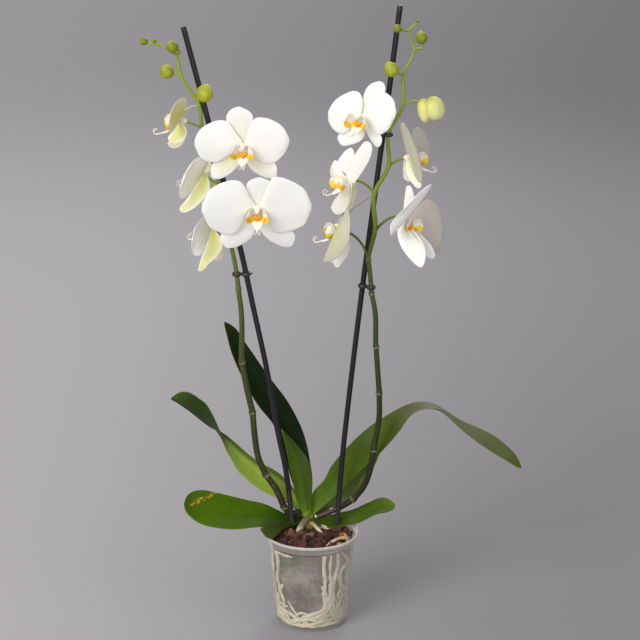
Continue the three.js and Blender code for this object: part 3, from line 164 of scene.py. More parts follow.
class Finish:
    """A procedural material around one Principled shader."""

    def __init__(self, name, **constants):
        self.material = bpy.data.materials.new(name)
        self.material.use_nodes = True
        self.tree = self.material.node_tree
        self.shader = self.tree.nodes["Principled BSDF"]
        for socket, value in constants.items():
            self.shader.inputs[socket.replace("_", " ")].default_value = value

    def node(self, kind, settings=None, sockets=None):
        """Adds a node, sets its options and feeds its sockets."""
        made = self.tree.nodes.new(kind)
        for key, value in (settings or {}).items():
            if key == "stops":
                ramp = made.color_ramp
                while len(ramp.elements) < len(value):
                    ramp.elements.new(0.5)
                for element, (place, colour) in zip(ramp.elements, value):
                    element.position, element.color = place, colour
            else:
                setattr(made, key, value)
        for key, value in (sockets or {}).items():
            self.feed(made.inputs[key], value)
        return made

    def feed(self, socket, value):
        """Links a socket to what varies, or sets a constant on it."""
        value = value.socket if isinstance(value, Field) else value
        if isinstance(value, bpy.types.NodeSocket):
            self.tree.links.new(value, socket)
        else:
            socket.default_value = value

    def place(self):
        """Where on the whole plant, in metres."""
        return self.node("ShaderNodeTexCoord").outputs["Object"]

    def part(self, axis):
        """One of the three numbers of the place: X, Y or Z."""
        split = self.node("ShaderNodeSeparateXYZ", None, {0: self.place()})
        return Field(self, split.outputs[axis])

    def height(self):
        return self.part("Z")

    def across_along(self):
        """The sheet's own map: 0 to 1 across it and 0 to 1 from its root to its tip."""
        split = self.node("ShaderNodeSeparateXYZ", None, {0: self.node("ShaderNodeTexCoord").outputs["UV"]})
        return Field(self, split.outputs["X"]), Field(self, split.outputs["Y"])

    def mark(self, name):
        """A number that the piece keeps for each of its points."""
        return Field(self, self.node("ShaderNodeAttribute", {"attribute_name": name}).outputs["Fac"])

    def noise(self, scale, detail=3.0, rough=0.55, stretch=(1, 1, 1)):
        """Cloudy patches from 0 to 1; a larger scale makes them smaller."""
        shift = self.node("ShaderNodeMapping", None, {"Vector": self.place(), "Scale": stretch})
        found = self.node("ShaderNodeTexNoise", None, {
            "Vector": shift.outputs[0], "Scale": scale, "Detail": detail, "Roughness": rough})
        return Field(self, found.outputs["Fac"])

    def cells(self, scale):
        """0 at scattered points, growing towards the borders between them."""
        found = self.node("ShaderNodeTexVoronoi", None, {"Vector": self.place(), "Scale": scale})
        return Field(self, found.outputs["Distance"])

    def spot(self, centre, reach):
        """1 at a place on the plant, fading to 0 at reach, in millimetres."""
        away = self.node("ShaderNodeVectorMath", {"operation": "DISTANCE"},
                         {0: self.place(), 1: [v * MM for v in centre]})
        return 1 - Field(self, away.outputs["Value"]).over(0.3 * reach * MM, reach * MM)

    def streak(self, left, up, turn, long, wide):
        """1 inside a slanting ellipse as the camera sees it, fading out at its edge; in millimetres."""
        across, rise = self.part("X") - left * MM, self.part("Z") + self.part("Y") * VIEW_SLOPE - up * MM
        c, s = math.cos(math.radians(turn)), math.sin(math.radians(turn))
        far = ((across * c + rise * s) / (long * MM)) ** 2 + ((rise * c - across * s) / (wide * MM)) ** 2
        return 1 - far.over(0.6, 1.1)

    def mix(self, share, first, second, way="MIX"):
        """The first colour where share is 0 and the second where it is 1."""
        blend = self.node("ShaderNodeMix", {"data_type": "RGBA", "blend_type": way},
                          {"Factor": share, 6: shades_of(first), 7: shades_of(second)})
        return blend.outputs[2]

    def ramp(self, share, *stops):
        """A colour for every share, by stops of a place from 0 to 1 and the colour there."""
        stops = [(place, shades_of(colour)) for place, colour in stops]
        return self.node("ShaderNodeValToRGB", {"stops": stops}, {"Fac": share}).outputs["Color"]

    def bump(self, height, depth, strength=0.5):
        """Lets light see small heights, depth metres deep, that the mesh doesn't have."""
        made = self.node("ShaderNodeBump", None,
                         {"Height": height, "Distance": depth, "Strength": strength})
        self.feed(self.shader.inputs["Normal"], made.outputs[0])

    def paint(self, tone, *layers, roughness=None):
        """Lays (share, colour, way to blend) layers over a tone and gives the result to the shader."""
        for share, colour, *way in layers:
            tone = self.mix(share, tone, colour, *way)
        self.feed(self.shader.inputs["Base Color"], tone)
        if roughness:
            self.feed(self.shader.inputs["Roughness"], roughness)

    def wear(self, *pieces):
        """Puts the finish on the next material slot of each piece."""
        for piece in pieces:
            piece.data.materials.append(self.material)


paper = Finish("floor_paper", Roughness=0.9)
sideways, backward = paper.part("X"), paper.part("Y")
far = abs(backward + FLOOR_BACK)
# painted light: the floor is painted paler on the left, where the window lights it, and darker on the
# right, less so far back; a little noise adds random tone
painted_window_light = sideways / (far + 2.4) - far * 0.012 + paper.noise(0.8, 2) * 0.02
painted_window_light = painted_window_light.over(-0.22, 0.18)
paper.paint((171, 168, 173), (painted_window_light, (126, 124, 128)))
paper.wear(floor)
print("finish:", paper.material.name)

# %% [markdown]
# ## Tools for soft sheets and tubes
# A leaf or a petal starts as a grid. Blender's transform tools can't follow a measured outline point by
# point, so the grid's points are set in code from two edges or from a root and a tip. Solidify then gives
# the sheet its thickness and Subdivision Surface rounds its edge. Stems and roots start as a curve with
# a round bevel, which is turned into a mesh.
# %% Smooth routes
def smooth(stops, count):
    """Even samples of a smooth line through rows of numbers, spaced by the first three of each row."""
    rows = np.array(stops, float)
    gaps = np.maximum(np.linalg.norm(np.diff(rows[:, :3], axis=0), axis=1), 1e-6)
    far = np.concatenate([[0], np.cumsum(gaps)])
    slope = np.diff(rows, axis=0) / gaps[:, None]
    turn = np.vstack([slope[:1], slope[-1:]])
    if len(rows) > 2:
        share = (gaps[1:] / (gaps[:-1] + gaps[1:]))[:, None]
        turn = np.vstack([slope[:1], slope[:-1] * share + slope[1:] * (1 - share), slope[-1:]])
    at = np.linspace(0, far[-1], count)
    k = np.clip(np.searchsorted(far, at, side="right") - 1, 0, len(rows) - 2)
    step = gaps[k][:, None]
    f = ((at - far[k]) / gaps[k])[:, None]
    return ((2 * f**3 - 3 * f**2 + 1) * rows[k] + (f**3 - 2 * f**2 + f) * step * turn[k]
            + (3 * f**2 - 2 * f**3) * rows[k + 1] + (f**3 - f**2) * step * turn[k + 1])


print("a bend through three stops:", smooth([[0, 0, 0], [5, 2, 0], [10, 0, 0]], 5)[:, 1].round(2))

# %% Finishing a mesh
def apply_all(piece):
    """Applies all modifiers of a piece, in their order."""
    bpy.context.view_layer.objects.active = piece
    for modifier in list(piece.modifiers):
        bpy.ops.object.modifier_apply(modifier=modifier.name)
    bpy.ops.object.shade_smooth()


def welded(piece, reach=1e-6):
    """Merges points that lie together, so that caps and seams are closed."""
    bpy.ops.object.mode_set(mode="EDIT")
    bpy.ops.mesh.select_all(action="SELECT")
    bpy.ops.mesh.remove_doubles(threshold=reach)
    bpy.ops.object.mode_set(mode="OBJECT")
    return piece


def joined(name, parts):
    """Makes several objects one piece."""
    bpy.ops.object.select_all(action="DESELECT")
    for part in parts:
        part.select_set(True)
    bpy.context.view_layer.objects.active = parts[0]
    if len(parts) > 1:
        bpy.ops.object.join()
    piece = bpy.context.object
    piece.name = name
    piece.data.name = name
    return piece


print("mesh helpers ready")


def settle(piece, slot, *nodes):
    """Every piece rides on the one body and hides the imported parts that it stands for; slot is not used.
    """
    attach(piece, "root")
    if nodes:
        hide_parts(*nodes)


# %% Tubes
def tube(name, stops, sides=10, blunt=True, step=2.0):
    """A round rod through stops (x, y, z, radius), in millimetres, with rounded ends."""
    stops = np.array(stops, float)
    far = np.concatenate([[0], np.cumsum(np.linalg.norm(np.diff(stops[:, :3], axis=0), axis=1))])
    count = max(6, int(far[-1] / step))
    line = np.column_stack([smooth(stops[:, :3], count),
                            np.interp(np.linspace(0, far[-1], count), far, stops[:, 3])])
    if blunt:
        for end, inner in ((0, 1), (-1, -2)):
            way = line[end, :3] - line[inner, :3]
            way /= max(np.linalg.norm(way), 1e-6)
            radius = line[end, 3]
            caps = [np.append(line[end, :3] + way * radius * s, radius * r)
                    for s, r in ((0.5, 0.86), (0.86, 0.5), (0.98, 0.16))]
            line = np.vstack([caps[::-1], line]) if end == 0 else np.vstack([line, caps])
    wire = started(bpy.ops.curve.primitive_nurbs_path_add)
    wire.data.splines.clear()
    spline = wire.data.splines.new("POLY")
    spline.points.add(len(line) - 1)
    for point, (x, y, z, radius) in zip(spline.points, line):
        point.co = (x * MM, y * MM, z * MM, 1)
        point.radius = radius
    wire.data.dimensions = "3D"
    wire.data.bevel_depth = MM
    wire.data.bevel_resolution = max(0, sides // 2 - 2)
    wire.data.use_fill_caps = True
    bpy.ops.object.convert(target="MESH")
    piece = welded(bpy.context.object)
    piece.name = name
    bpy.ops.object.shade_smooth()
    return piece


print("tubes ready")

# %% Sheets
def marked(piece, mark, values):
    """Keeps a number for every point of a piece, for its finish to read."""
    piece.data.attributes.new(mark, "FLOAT", "POINT").data.foreach_set("value", values)


def sheet(name, columns, rows, place, thick, marks=None, rounds=1, upward=None):
    """A grid bent by place(across -1..1, row number), given thickness and rounded edges."""
    piece = started(bpy.ops.mesh.primitive_grid_add, x_subdivisions=columns, y_subdivisions=rows, size=2)
    piece.name = name
    where = [(v.co.x, int(round((v.co.y + 1) / 2 * rows))) for v in piece.data.vertices]
    for mark, value in (marks or {}).items():
        marked(piece, mark, [value(across, row / rows) for across, row in where])
    for vertex, (across, row) in zip(piece.data.vertices, where):
        vertex.co = Vector(place(across, row)) * MM
    piece.data.update()
    if upward is not None:
        lean = sum((p.normal * p.area for p in piece.data.polygons), Vector())
        if lean.dot(Vector(upward)) < 0:
            piece.data.flip_normals()
    body = piece.modifiers.new("body", "SOLIDIFY")
    body.thickness, body.offset, body.material_offset = thick * MM, 0, 1
    if rounds:
        soft = piece.modifiers.new("soft", "SUBSURF")
        soft.levels = soft.render_levels = rounds
    apply_all(piece)
    return piece


print("sheets ready")

# %% [markdown]
# ## The stakes
# Two black plastic-coated canes hold the spikes up. They are bent by hand, so each follows a measured
# line with small turns. A cane is a tube with a flat sawn top, and its coat has a fine grain along its
# length. Near the bark the coat is painted greyer, a painted highlight for the light that catches its low
# end.
# %% Stakes
STAKES = {
    "stake_left": [
        [-12.8, 14.5, 18], [-24, 12, 120.9], [-32.9, 10, 202.4], [-42, 9, 249.9], [-56.1, 8, 337.8],
        [-70.9, 7, 412.3], [-84.9, 6, 483], [-99.8, 4, 548.9], [-123.6, 2, 651.7], [-150.8, -2, 764],
    ],
    "stake_right": [
        [25.9, 20, 18], [32.8, 16, 122.7], [36.3, 14, 175.7], [39.1, 13, 212.1], [47.7, 11, 299.9],
        [53.8, 9, 357.1], [63.7, 7, 444.4], [79.5, 4, 573.8], [94.7, 2, 696.5], [105.6, -2, 789.5],
    ],
}
STAKE_RADIUS = 3.4
cane = Finish("cane_black", Roughness=0.38, Specular_IOR_Level=0.35, Coat_Weight=0.1, Coat_Roughness=0.3)
grain = cane.noise(260, 4, 0.6, stretch=(1, 1, 0.08))
# painted highlight: the canes' lower ends are painted lighter grey for the light they reflect there
painted_low_sheen = (1 - cane.height().over(0.13, 0.19)) * 0.4
cane.paint((10, 8, 12), (grain, (27, 24, 30)), (painted_low_sheen, (74, 64, 68)), roughness=0.3 + grain * 0.25)
cane.bump(grain, 0.0004, 0.4)
for name, stops in STAKES.items():
    stake = tube(name + "_cane", [[*p, STAKE_RADIUS] for p in stops], 20, blunt=False, step=6)
    stake.modifiers.new("edge", "BEVEL").width = 0.5 * MM
    stake.modifiers["edge"].limit_method = "ANGLE"
    apply_all(stake)
    cane.wear(stake)
    settle(stake, "stake", name)
    print(stake.name, "top at", stops[-1])

# %% [markdown]
# ## The spikes
# Each spike is a green stem that swells a little at its nodes. A thin pale scale wraps every node, and
# a stalk leaves the stem for each flower and bud. The stem is one tube whose radius changes along it; the
# stalks are thinner tubes; a scale is a small sheet wrapped part way round the stem.
# %% Spike tables
SPIKES = {
    "spike_left": {
        "stem": [
            [-16, 24, 136.7, 3.6], [-28.8, 19.6, 137.1, 4], [-34, 18.8, 144.5, 4.2],
            [-35.3, 18.6, 146.3, 5.1], [-36.1, 18.5, 148.3, 4.2], [-44.5, 17.5, 169.5, 4.1],
            [-57.1, 16.1, 189.6, 4.1], [-58.3, 16, 191.5, 5], [-59.1, 15.8, 193.5, 4.1],
            [-66.5, 14, 212.3, 4], [-71.7, 12, 246.6, 3.9], [-73.9, 11.1, 276.1, 3.9],
            [-74.1, 11, 278.3, 4.8], [-74.6, 10.9, 280.4, 3.9], [-86.4, 8.1, 343.1, 3.6],
            [-86.7, 8, 345.3, 4.4], [-86.7, 7.9, 347.5, 3.6], [-86.7, 6.5, 412.5, 3.2],
            [-89.6, 6, 438.7, 3.1], [-89.8, 6, 440.9, 3.8], [-90, 6, 443.1, 3.1], [-92, 6, 461.3, 2.8],
            [-106.1, 4, 533.9, 2.5], [-112.1, 3, 575.3, 2.4], [-131, 3, 643, 2.1],
            [-135.4, 3, 674, 2.5], [-145.5, 3, 687.9, 1.9], [-155, 3, 705.5, 2.2],
            [-161, 3, 729.9, 1.8], [-181.2, 3, 743.2, 1.2],
        ],
        "stalks": [
            [[-130.4, 3, 640.8, 1.7], [-136.1, 3.3, 644.2, 1.5], [-143.5, 3.2, 647.1, 1.5],
             [-153.8, 2.2, 650.7, 1.7]],
            [[-111.2, 3.2, 568.8, 1.7], [-115.4, 3.4, 573.7, 1.5], [-121.3, 4.5, 578, 1.5],
             [-129.9, 7.5, 582.3, 1.7]],
            [[-102, 4.6, 512.8, 1.7], [-105.7, 8.8, 512.1, 1.5], [-111.2, 13.3, 511.4, 1.5],
             [-119.4, 17.6, 512.5, 1.7]],
            [[-119.3, 3, 601, 1.7], [-108.4, -5.6, 609.2, 1.5], [-89.5, -8.5, 621.5, 1.5],
             [-80.2, -22.4, 624.9, 1.7]],
            [[-105.4, 4.1, 530.1, 1.7], [-93.3, -5.3, 538.5, 1.5], [-74.1, -10.9, 550.1, 1.5],
             [-64.1, -26.3, 550.4, 1.7]],
            [[-135.4, 3, 674, 1.4], [-131.8, -3.4, 678.6, 1.4], [-128.2, -9.7, 684.2, 1.4]],
            [[-155, 3, 705.5, 1.4], [-161.7, 3, 706.8, 1.4], [-168.4, 3, 709, 1.4]],
            [[-160.8, 3, 729.3, 1.4], [-155.2, 1, 733.8, 1.4], [-161.8, -1.2, 738.5, 1.4]],
            [[-181.2, 3, 743.2, 0.9], [-183.3, 2.6, 744.3, 0.9], [-185.4, 2.2, 746.4, 0.9]],
            [[-180, 3, 742.4, 1.4], [-188.4, 3, 743.5, 1.4], [-196.8, 3, 745.6, 1.4]],
        ],
    },
    "spike_right": {
        "stem": [
            [0.7, 24, 127, 3.4], [44.4, 26, 147.2, 4.1], [52.9, 24.3, 153.9, 4], [54.6, 24, 155.3, 4.9],
            [55.8, 23.6, 157.1, 4], [65.9, 20, 172, 4], [75, 14, 199.5, 3.9], [78.8, 10.3, 225.9, 3.8],
            [79.1, 10, 228.1, 4.6], [79.4, 9.8, 230.3, 3.8], [85.6, 6, 276.5, 3.6],
            [85.2, 4.1, 304, 3.5], [85.2, 4, 306.2, 4.3], [85, 3.9, 308.4, 3.5], [80.6, 2.1, 365, 3.3],
            [80.4, 2, 367.2, 4], [80.3, 1.9, 369.4, 3.3], [78.7, 0, 414.4, 3.2], [74.9, 0, 434.6, 3.1],
            [74.5, 0, 436.8, 3.8], [74.3, 0, 439, 3.1], [72.7, 0, 457.9, 2.9], [70.2, -2, 479.1, 2.9],
            [69.9, -2.2, 481.3, 3.5], [70.3, -2.3, 483.5, 2.9], [77.9, -3.6, 516.6, 3],
            [76.9, -4, 562.8, 2.9], [93.6, -2, 595.5, 2.6], [93.3, 0, 634.3, 2.1],
            [110.6, 0, 670.9, 2.3], [110.6, 0, 705.9, 1.9], [122.6, 0, 737.7, 1.4],
            [116.4, 0, 758.9, 1.2], [126.1, 0, 769.3, 0.9],
        ],
        "stalks": [
            [[95, 0, 637.9, 1.7], [82.8, -0.2, 650.3, 1.5], [70.7, -4.9, 658.5, 1.5],
             [60.4, -18.7, 660.2, 1.7]],
            [[93.1, -2.1, 594.6, 1.7], [99, 1.2, 599.1, 1.5], [106.7, 2.8, 602.7, 1.5],
             [117.2, 0.5, 605.9, 1.7]],
            [[77.6, -3.6, 515.3, 1.7], [88.9, 4.4, 525.2, 1.5], [101.1, 7.8, 530.9, 1.5],
             [113.6, 1, 530.2, 1.7]],
            [[76.9, -4, 562, 1.7], [69.9, -3.1, 570.7, 1.5], [60.6, -4.1, 577.1, 1.5],
             [47.8, -9.4, 580.6, 1.7]],
            [[70, -2.2, 480.9, 1.7], [64.4, -2, 495.1, 1.5], [55, -2.4, 507.3, 1.5],
             [38.4, -3.9, 517.8, 1.7]],
            [[121.6, 0, 764.5, 0.9], [123.9, 0, 766.7, 0.9], [126.2, 0, 769.9, 0.9]],
            [[116.4, 0, 758.9, 1.4], [110.4, -4.4, 760.4, 1.4], [104.4, -8.7, 762.9, 1.4]],
            [[122.6, 0, 737.7, 1.4], [132.9, 2, 738.8, 1.4], [131.7, 0.5, 748, 1.4]],
            [[110.6, 0, 705.9, 1.4], [104.4, -5.4, 709.4, 1.4], [98.1, -10.8, 713.8, 1.4]],
            [[110.6, 0, 670.9, 1.4], [123.6, 0, 675.1, 1.4], [140.5, 0, 668, 1.4]],
        ],
    },
}
stem_green = Finish("stem_green", Specular_IOR_Level=0.35, Coat_Weight=0.08, Coat_Roughness=0.35,
                    Subsurface_Weight=0.08, Subsurface_Scale=0.002)
fleck = stem_green.noise(420, 4, 0.65, stretch=(1, 1, 0.35))
rise = stem_green.height()
shaded = stem_green.part("X").over(0.02, 0.05) * (1 - rise.over(0.46, 0.6))
flakes = [(stem_green.streak(*flake) * fleck.over(0.3, 0.4), (226, 206, 190)) for flake in (
    (8.2, 149.5, 58, 5.2, 1.2), (25.2, 150.2, 30, 4.4, 1.8), (5.2, 139, 100, 3, 1.2))]
stem_green.paint(
    stem_green.ramp(rise.over(0.1, 0.72), (0.0, (52, 38, 28)), (0.06, (44, 44, 16)), (0.2, (46, 54, 15)),
                    (0.5, (64, 76, 20)), (0.72, (92, 110, 26)), (1.0, (132, 154, 38))),
    (fleck.over(0.55, 0.8) * 0.35, (150, 156, 84)), (shaded * 0.55, (176, 172, 150), "MULTIPLY"),
    (stem_green.spot((26, 25, 137), 34) * 0.9, (60, 38, 38)), *flakes, roughness=0.36 + fleck * 0.2)
stem_green.bump(fleck, 0.0005, 0.35)
scale_pale = Finish("node_scale", Roughness=0.6)
fibres = scale_pale.noise(500, 4, stretch=(1, 1, 0.2)).over(0.4, 0.7)
scale_pale.paint((74, 84, 34), (fibres, (132, 132, 84)))
print("finishes:", stem_green.material.name, scale_pale.material.name)

# %% Spikes
def node_scale(name, at, along, radius, side, size):
    """A pointed scale wrapped round a stem at one of its nodes."""
    along, side = Vector(along).normalized(), Vector(side)
    side = (side - along * side.dot(along)).normalized()
    third = along.cross(side)

    def place(across, row):
        t = row / 8
        turn = across * 2.5 * (1 - 0.8 * t**1.6)
        reach = radius + 0.2 + 0.3 * t
        out = side * math.cos(turn) + third * math.sin(turn)
        return Vector(at) + along * (size * t - 1.0) + out * reach

    return sheet(name, 12, 8, place, 0.35, rounds=0)


for name, lines in SPIKES.items():
    parts = [tube(name, lines["stem"], 14, step=1.6)]
    for (x, y, z, radius), *others in lines["stalks"]:
        parts.append(tube("stalk", [[x, y, z, radius + 0.25], *others], 10))
    stem_green.wear(*parts)
    stem = np.array(lines["stem"])
    swell = [i for i in range(1, len(stem) - 1)
             if stem[i, 3] > stem[i - 1, 3] + 0.4 and stem[i, 3] > stem[i + 1, 3] + 0.4]
    for count, i in enumerate(swell):
        scale = node_scale("scale", stem[i - 1, :3], stem[i + 1, :3] - stem[i - 1, :3], stem[i, 3] - 0.3,
                           (1 if count % 2 else -1, -0.7, 0), 3.6)
        scale_pale.wear(scale)
        parts.append(scale)
    spike = joined(name + "_stem", parts)
    settle(spike, "spike", name)
    print(spike.name, len(swell), "nodes,", len(lines["stalks"]), "stalks")

# %% [markdown]
# ## The clips
# Small black plastic clips tie each stem to its stake. A clip is two rings joined by a bridge, so it
# starts as two torus primitives, stretched upwards into bands, with a short tube between them.
# %% Clips
CLIPS = {
    "clip_left": ([-80.1, 6.3, 458.8], [-91.7, 6, 458.8]),
    "clip_right_low": ([63.6, 7, 443.6], [73.9, 0, 443.6]),
    "clip_right_high": ([87, 3, 634.3], [93.3, 0, 634.3]),
}


def band(place, radius):
    """A ring that stands 2.2 times as high as it is thick."""
    ring = started(bpy.ops.mesh.primitive_torus_add, location=[v * MM for v in place], major_segments=36,
                   minor_segments=10, major_radius=radius * MM, minor_radius=1.1 * MM)
    bpy.ops.object.mode_set(mode="EDIT")
    bpy.ops.mesh.select_all(action="SELECT")
    bpy.ops.transform.resize(value=(1, 1, 2.2))
    bpy.ops.object.mode_set(mode="OBJECT")
    bpy.ops.object.transform_apply()
    bpy.ops.object.shade_smooth()
    return ring


clip_black = Finish("clip_black", Roughness=0.45, Coat_Weight=0.2)
clip_grain = clip_black.noise(700, 3)
clip_black.paint((24, 24, 24), (clip_grain, (46, 46, 44)))
clip_black.bump(clip_grain, 0.0003, 0.3)
for name, (on_stake, on_stem) in CLIPS.items():
    start, end = Vector(on_stake), Vector(on_stem)
    way = (end - start).normalized()
    parts = [band(start, 4.9), band(end, 4.6),
             tube("bridge", [[*(start + way * 4.4), 1.4], [*(end - way * 4.0), 1.4]], 10)]
    if name == "clip_left":
        parts.append(tube("tail", [[*(start + way * -8.4 + Vector((0, 0, 1))), 0.5],
                                   [*(start + way * -4.6), 1.3]], 8))
    clip = joined(name + "_ring", parts)
    clip_black.wear(clip)
    settle(clip, "stake", name)
    print(clip.name)

# %% [markdown]
# ## The leaves
# Moth orchid leaves are thick straps with a sunk midrib, glossy and dark above, paler and duller below.
# Each one starts as a grid laid between its two measured edges, and the middle is let down along the
# midrib. The top takes the glossy finish and the other side takes the pale one.
# %% Leaf tables
LEAVES = {
    "leaf_low_left": (5, [
        [[-16, 20, 134.2], [-17.2, 15, 126.6]], [[-28.8, 22, 134.1], [-31.3, 11, 126.8]],
        [[-44.3, 24, 140], [-48.9, -2, 128.1]], [[-63.5, 25, 148.7], [-66.5, -11, 130.2]],
        [[-82.7, 24, 153.9], [-84.1, -15, 129.9]], [[-103.1, 23, 158.9], [-104.3, -18, 130.3]],
        [[-122.2, 21, 165.4], [-125.8, -18, 132.8]], [[-139.8, 17, 169.7], [-143.6, -15, 138.4]],
        [[-151.6, 12, 169.7], [-154.5, -10, 145]], [[-159.2, 5, 164.9], [-160.2, -5, 151.2]],
        [[-161.2, 2, 160], [-161.5, -1, 155]],
    ]),
    "leaf_curl_left": (4, [
        [[-13.5, 30, 146.7], [-16.1, 28, 132.3]], [[-25, 36, 167.8], [-27.6, 29, 144.3]],
        [[-44.3, 38, 186.9], [-50.7, 28, 157.2]], [[-60.9, 38, 196.9], [-69.7, 24, 169.7]],
        [[-73.6, 37, 205.8], [-85.3, 20, 185]], [[-96.3, 34, 226.7], [-98.4, 15, 205.9]],
        [[-106.3, 32, 236.2], [-107.4, 11, 226.3]], [[-113.8, 30, 243], [-113.2, 4, 247.7]],
        [[-126.3, 27, 250.8], [-127.7, 4, 283]], [[-142.3, 22, 264.1], [-139.6, 2, 298.4]],
        [[-153.8, 17, 275.8], [-149.9, 3, 305]], [[-165.3, 13, 286.6], [-160.5, 4, 306.5]],
        [[-173, 9, 293.3], [-169.4, 5, 303.2]], [[-176, 7, 295.1], [-174.6, 6, 298.9]],
    ]),
    "leaf_tall_dark": (5, [
        [[-1.9, 31, 150.4], [-12.2, 30, 143.9]], [[1.1, 35, 164], [-22.4, 34, 167.2]],
        [[-2.8, 48, 203.1], [-35.1, 37, 214]], [[-12.8, 58, 240.4], [-47.8, 41, 247.9]],
        [[-30.1, 64, 272.4], [-68.1, 43, 275.6]], [[-48, 66, 297.5], [-83.8, 45, 301.8]],
        [[-63.3, 67, 320], [-95.7, 48, 328.9]], [[-75.9, 67, 338.8], [-102.5, 52, 347.6]],
        [[-85.9, 66, 353.9], [-106.3, 56, 361.6]], [[-97.1, 64, 372.3], [-109.6, 60, 373]],
        [[-107.1, 63, 379.2], [-110.4, 62, 377.7]],
    ]),
    "leaf_inner": (4, [
        [[0.1, 20, 138.3], [-10.8, 19, 133.2]], [[0.8, 22, 165], [-18.5, 20, 154.8]],
        [[-0.1, 26, 188.1], [-26.3, 22, 189.6]], [[-5.6, 31, 208.1], [-30.5, 25, 213]],
        [[-14.6, 34, 220.5], [-33.6, 28, 228.2]], [[-26.1, 36, 233.4], [-36.4, 32, 238.9]],
        [[-35, 36, 243.2], [-38, 35, 244.6]],
    ]),
    "leaf_arch_right": (3, [
        [[-4.4, 24, 140.8], [2, 22, 130.6]], [[4.6, 29, 166.4], [13.6, 24, 142.2]],
        [[14.9, 32, 175.5], [29, 27, 154.8]], [[24.5, 36, 193.9], [44.4, 28, 169.5]],
        [[36.7, 39, 209.2], [59.6, 27, 187.7]], [[61, 44, 233.8], [83.6, 22, 214.1]],
        [[80.1, 46, 250.2], [99.8, 18, 233.2]], [[95.4, 47, 260], [110.9, 14, 249.5]],
        [[115.7, 46, 271.8], [123, 8, 272.3]], [[138.4, 42, 279.7], [136.4, 2, 283.9]],
        [[152.2, 38, 280.2], [149.5, 0, 286.2]], [[164.8, 34, 275.2], [162.5, -2, 285.5]],
        [[190.4, 32, 259.2], [182, -6, 266]], [[209.6, 31, 250.1], [197.7, -9, 253.8]],
        [[233.8, 28, 237.7], [215.4, -11, 240.5]], [[249, 24, 226.9], [232.2, -9, 227.7]],
        [[260.6, 15, 217.4], [248.1, -4, 216.5]], [[264.4, 7, 210.3], [262.3, 3, 205.1]],
    ]),
    "leaf_fold_right": (3, [
        [[-1.2, 25, 133.5], [3.9, 23, 126]], [[16.2, 38, 142.1], [21.3, 33, 128.9]],
        [[34.3, 44, 156.4], [40.7, 34, 137.5]], [[49.8, 48, 172.8], [58.6, 34, 157.5]],
        [[65.2, 48, 190.7], [71.3, 32, 180.3]], [[76.6, 44, 205.9], [81.4, 32, 199.5]],
        [[85.3, 38, 216.3], [87.1, 34, 213.7]],
    ]),
    "leaf_low_right": (4, [
        [[-0.5, 15, 130.7], [3.3, 12, 124.4]], [[9.7, 22, 129.2], [16.1, 9, 121.5]],
        [[23.9, 28, 130.2], [31.5, 7, 121.6]], [[38.1, 33, 133], [48.1, 9, 124.9]],
        [[56.9, 37, 136], [62.2, 11, 128.2]], [[75.6, 38, 145.6], [86.1, 16, 137.5]],
        [[92.3, 37, 151.4], [99.6, 21, 138.6]], [[103.2, 34, 148.6], [106.5, 27, 140.3]],
    ]),
    "leaf_small": (2, [
        [[-18.5, 14, 127.7], [-19.7, 10, 124.5]], [[-30, 10, 130], [-34.8, -6, 126.3]],
        [[-41.3, 2, 133.3], [-44.6, -28, 125.2]], [[-51.3, -8, 134], [-52.6, -34, 124.2]],
        [[-58.2, -12, 132.2], [-59, -30, 127.2]], [[-63.2, -16, 130.6], [-63.4, -20, 129.4]],
    ]),
}
CROWN = [-4, 20, 121]
print("leaves:", list(LEAVES))

# %% Leaf finishes
def leaf_finish(name, stops, gloss, vein, scars, shade):
    """Green along the leaf by stops, with a midrib line, fine long veins, a pale rim and old scars."""
    made_of = Finish(name, Specular_IOR_Level=gloss, Coat_Weight=gloss * 0.3, Coat_Roughness=0.3,
                     Subsurface_Weight=0.05, Subsurface_Scale=0.002)
    across, along = made_of.across_along()
    cloud = made_of.noise(38, 5, 0.6)
    lines = (across * 150 + cloud * 3).sine() * 0.5 + 0.5
    rib = 1 - abs(across - 0.5).over(0.0, 0.03)
    rim = abs(across - 0.5).over(0.482, 0.5)
    darker = [((1 - across.over(start, end)) * share, colour, "MULTIPLY")
              for start, end, colour, share in shade]
    patches = [(made_of.streak(*spread) * made_of.noise(grain, 4).over(0.49, 0.56) * share, colour)
               for spread, grain, colour, share in scars]
    made_of.paint(
        made_of.ramp(along, *stops), *darker, (cloud.over(0.35, 0.75) * 0.6, (214, 220, 190), "MULTIPLY"),
        (lines * 0.5 * vein, (226, 228, 214), "MULTIPLY"), (rib * 0.35 * vein, (186, 190, 160), "MULTIPLY"),
        (rim * 0.12, (150, 172, 50)), *patches, roughness=0.42 + cloud * 0.16)
    made_of.bump(lines * 0.25 + cloud * 0.5 + rib * -0.5, 0.0012, 0.22)
    return made_of


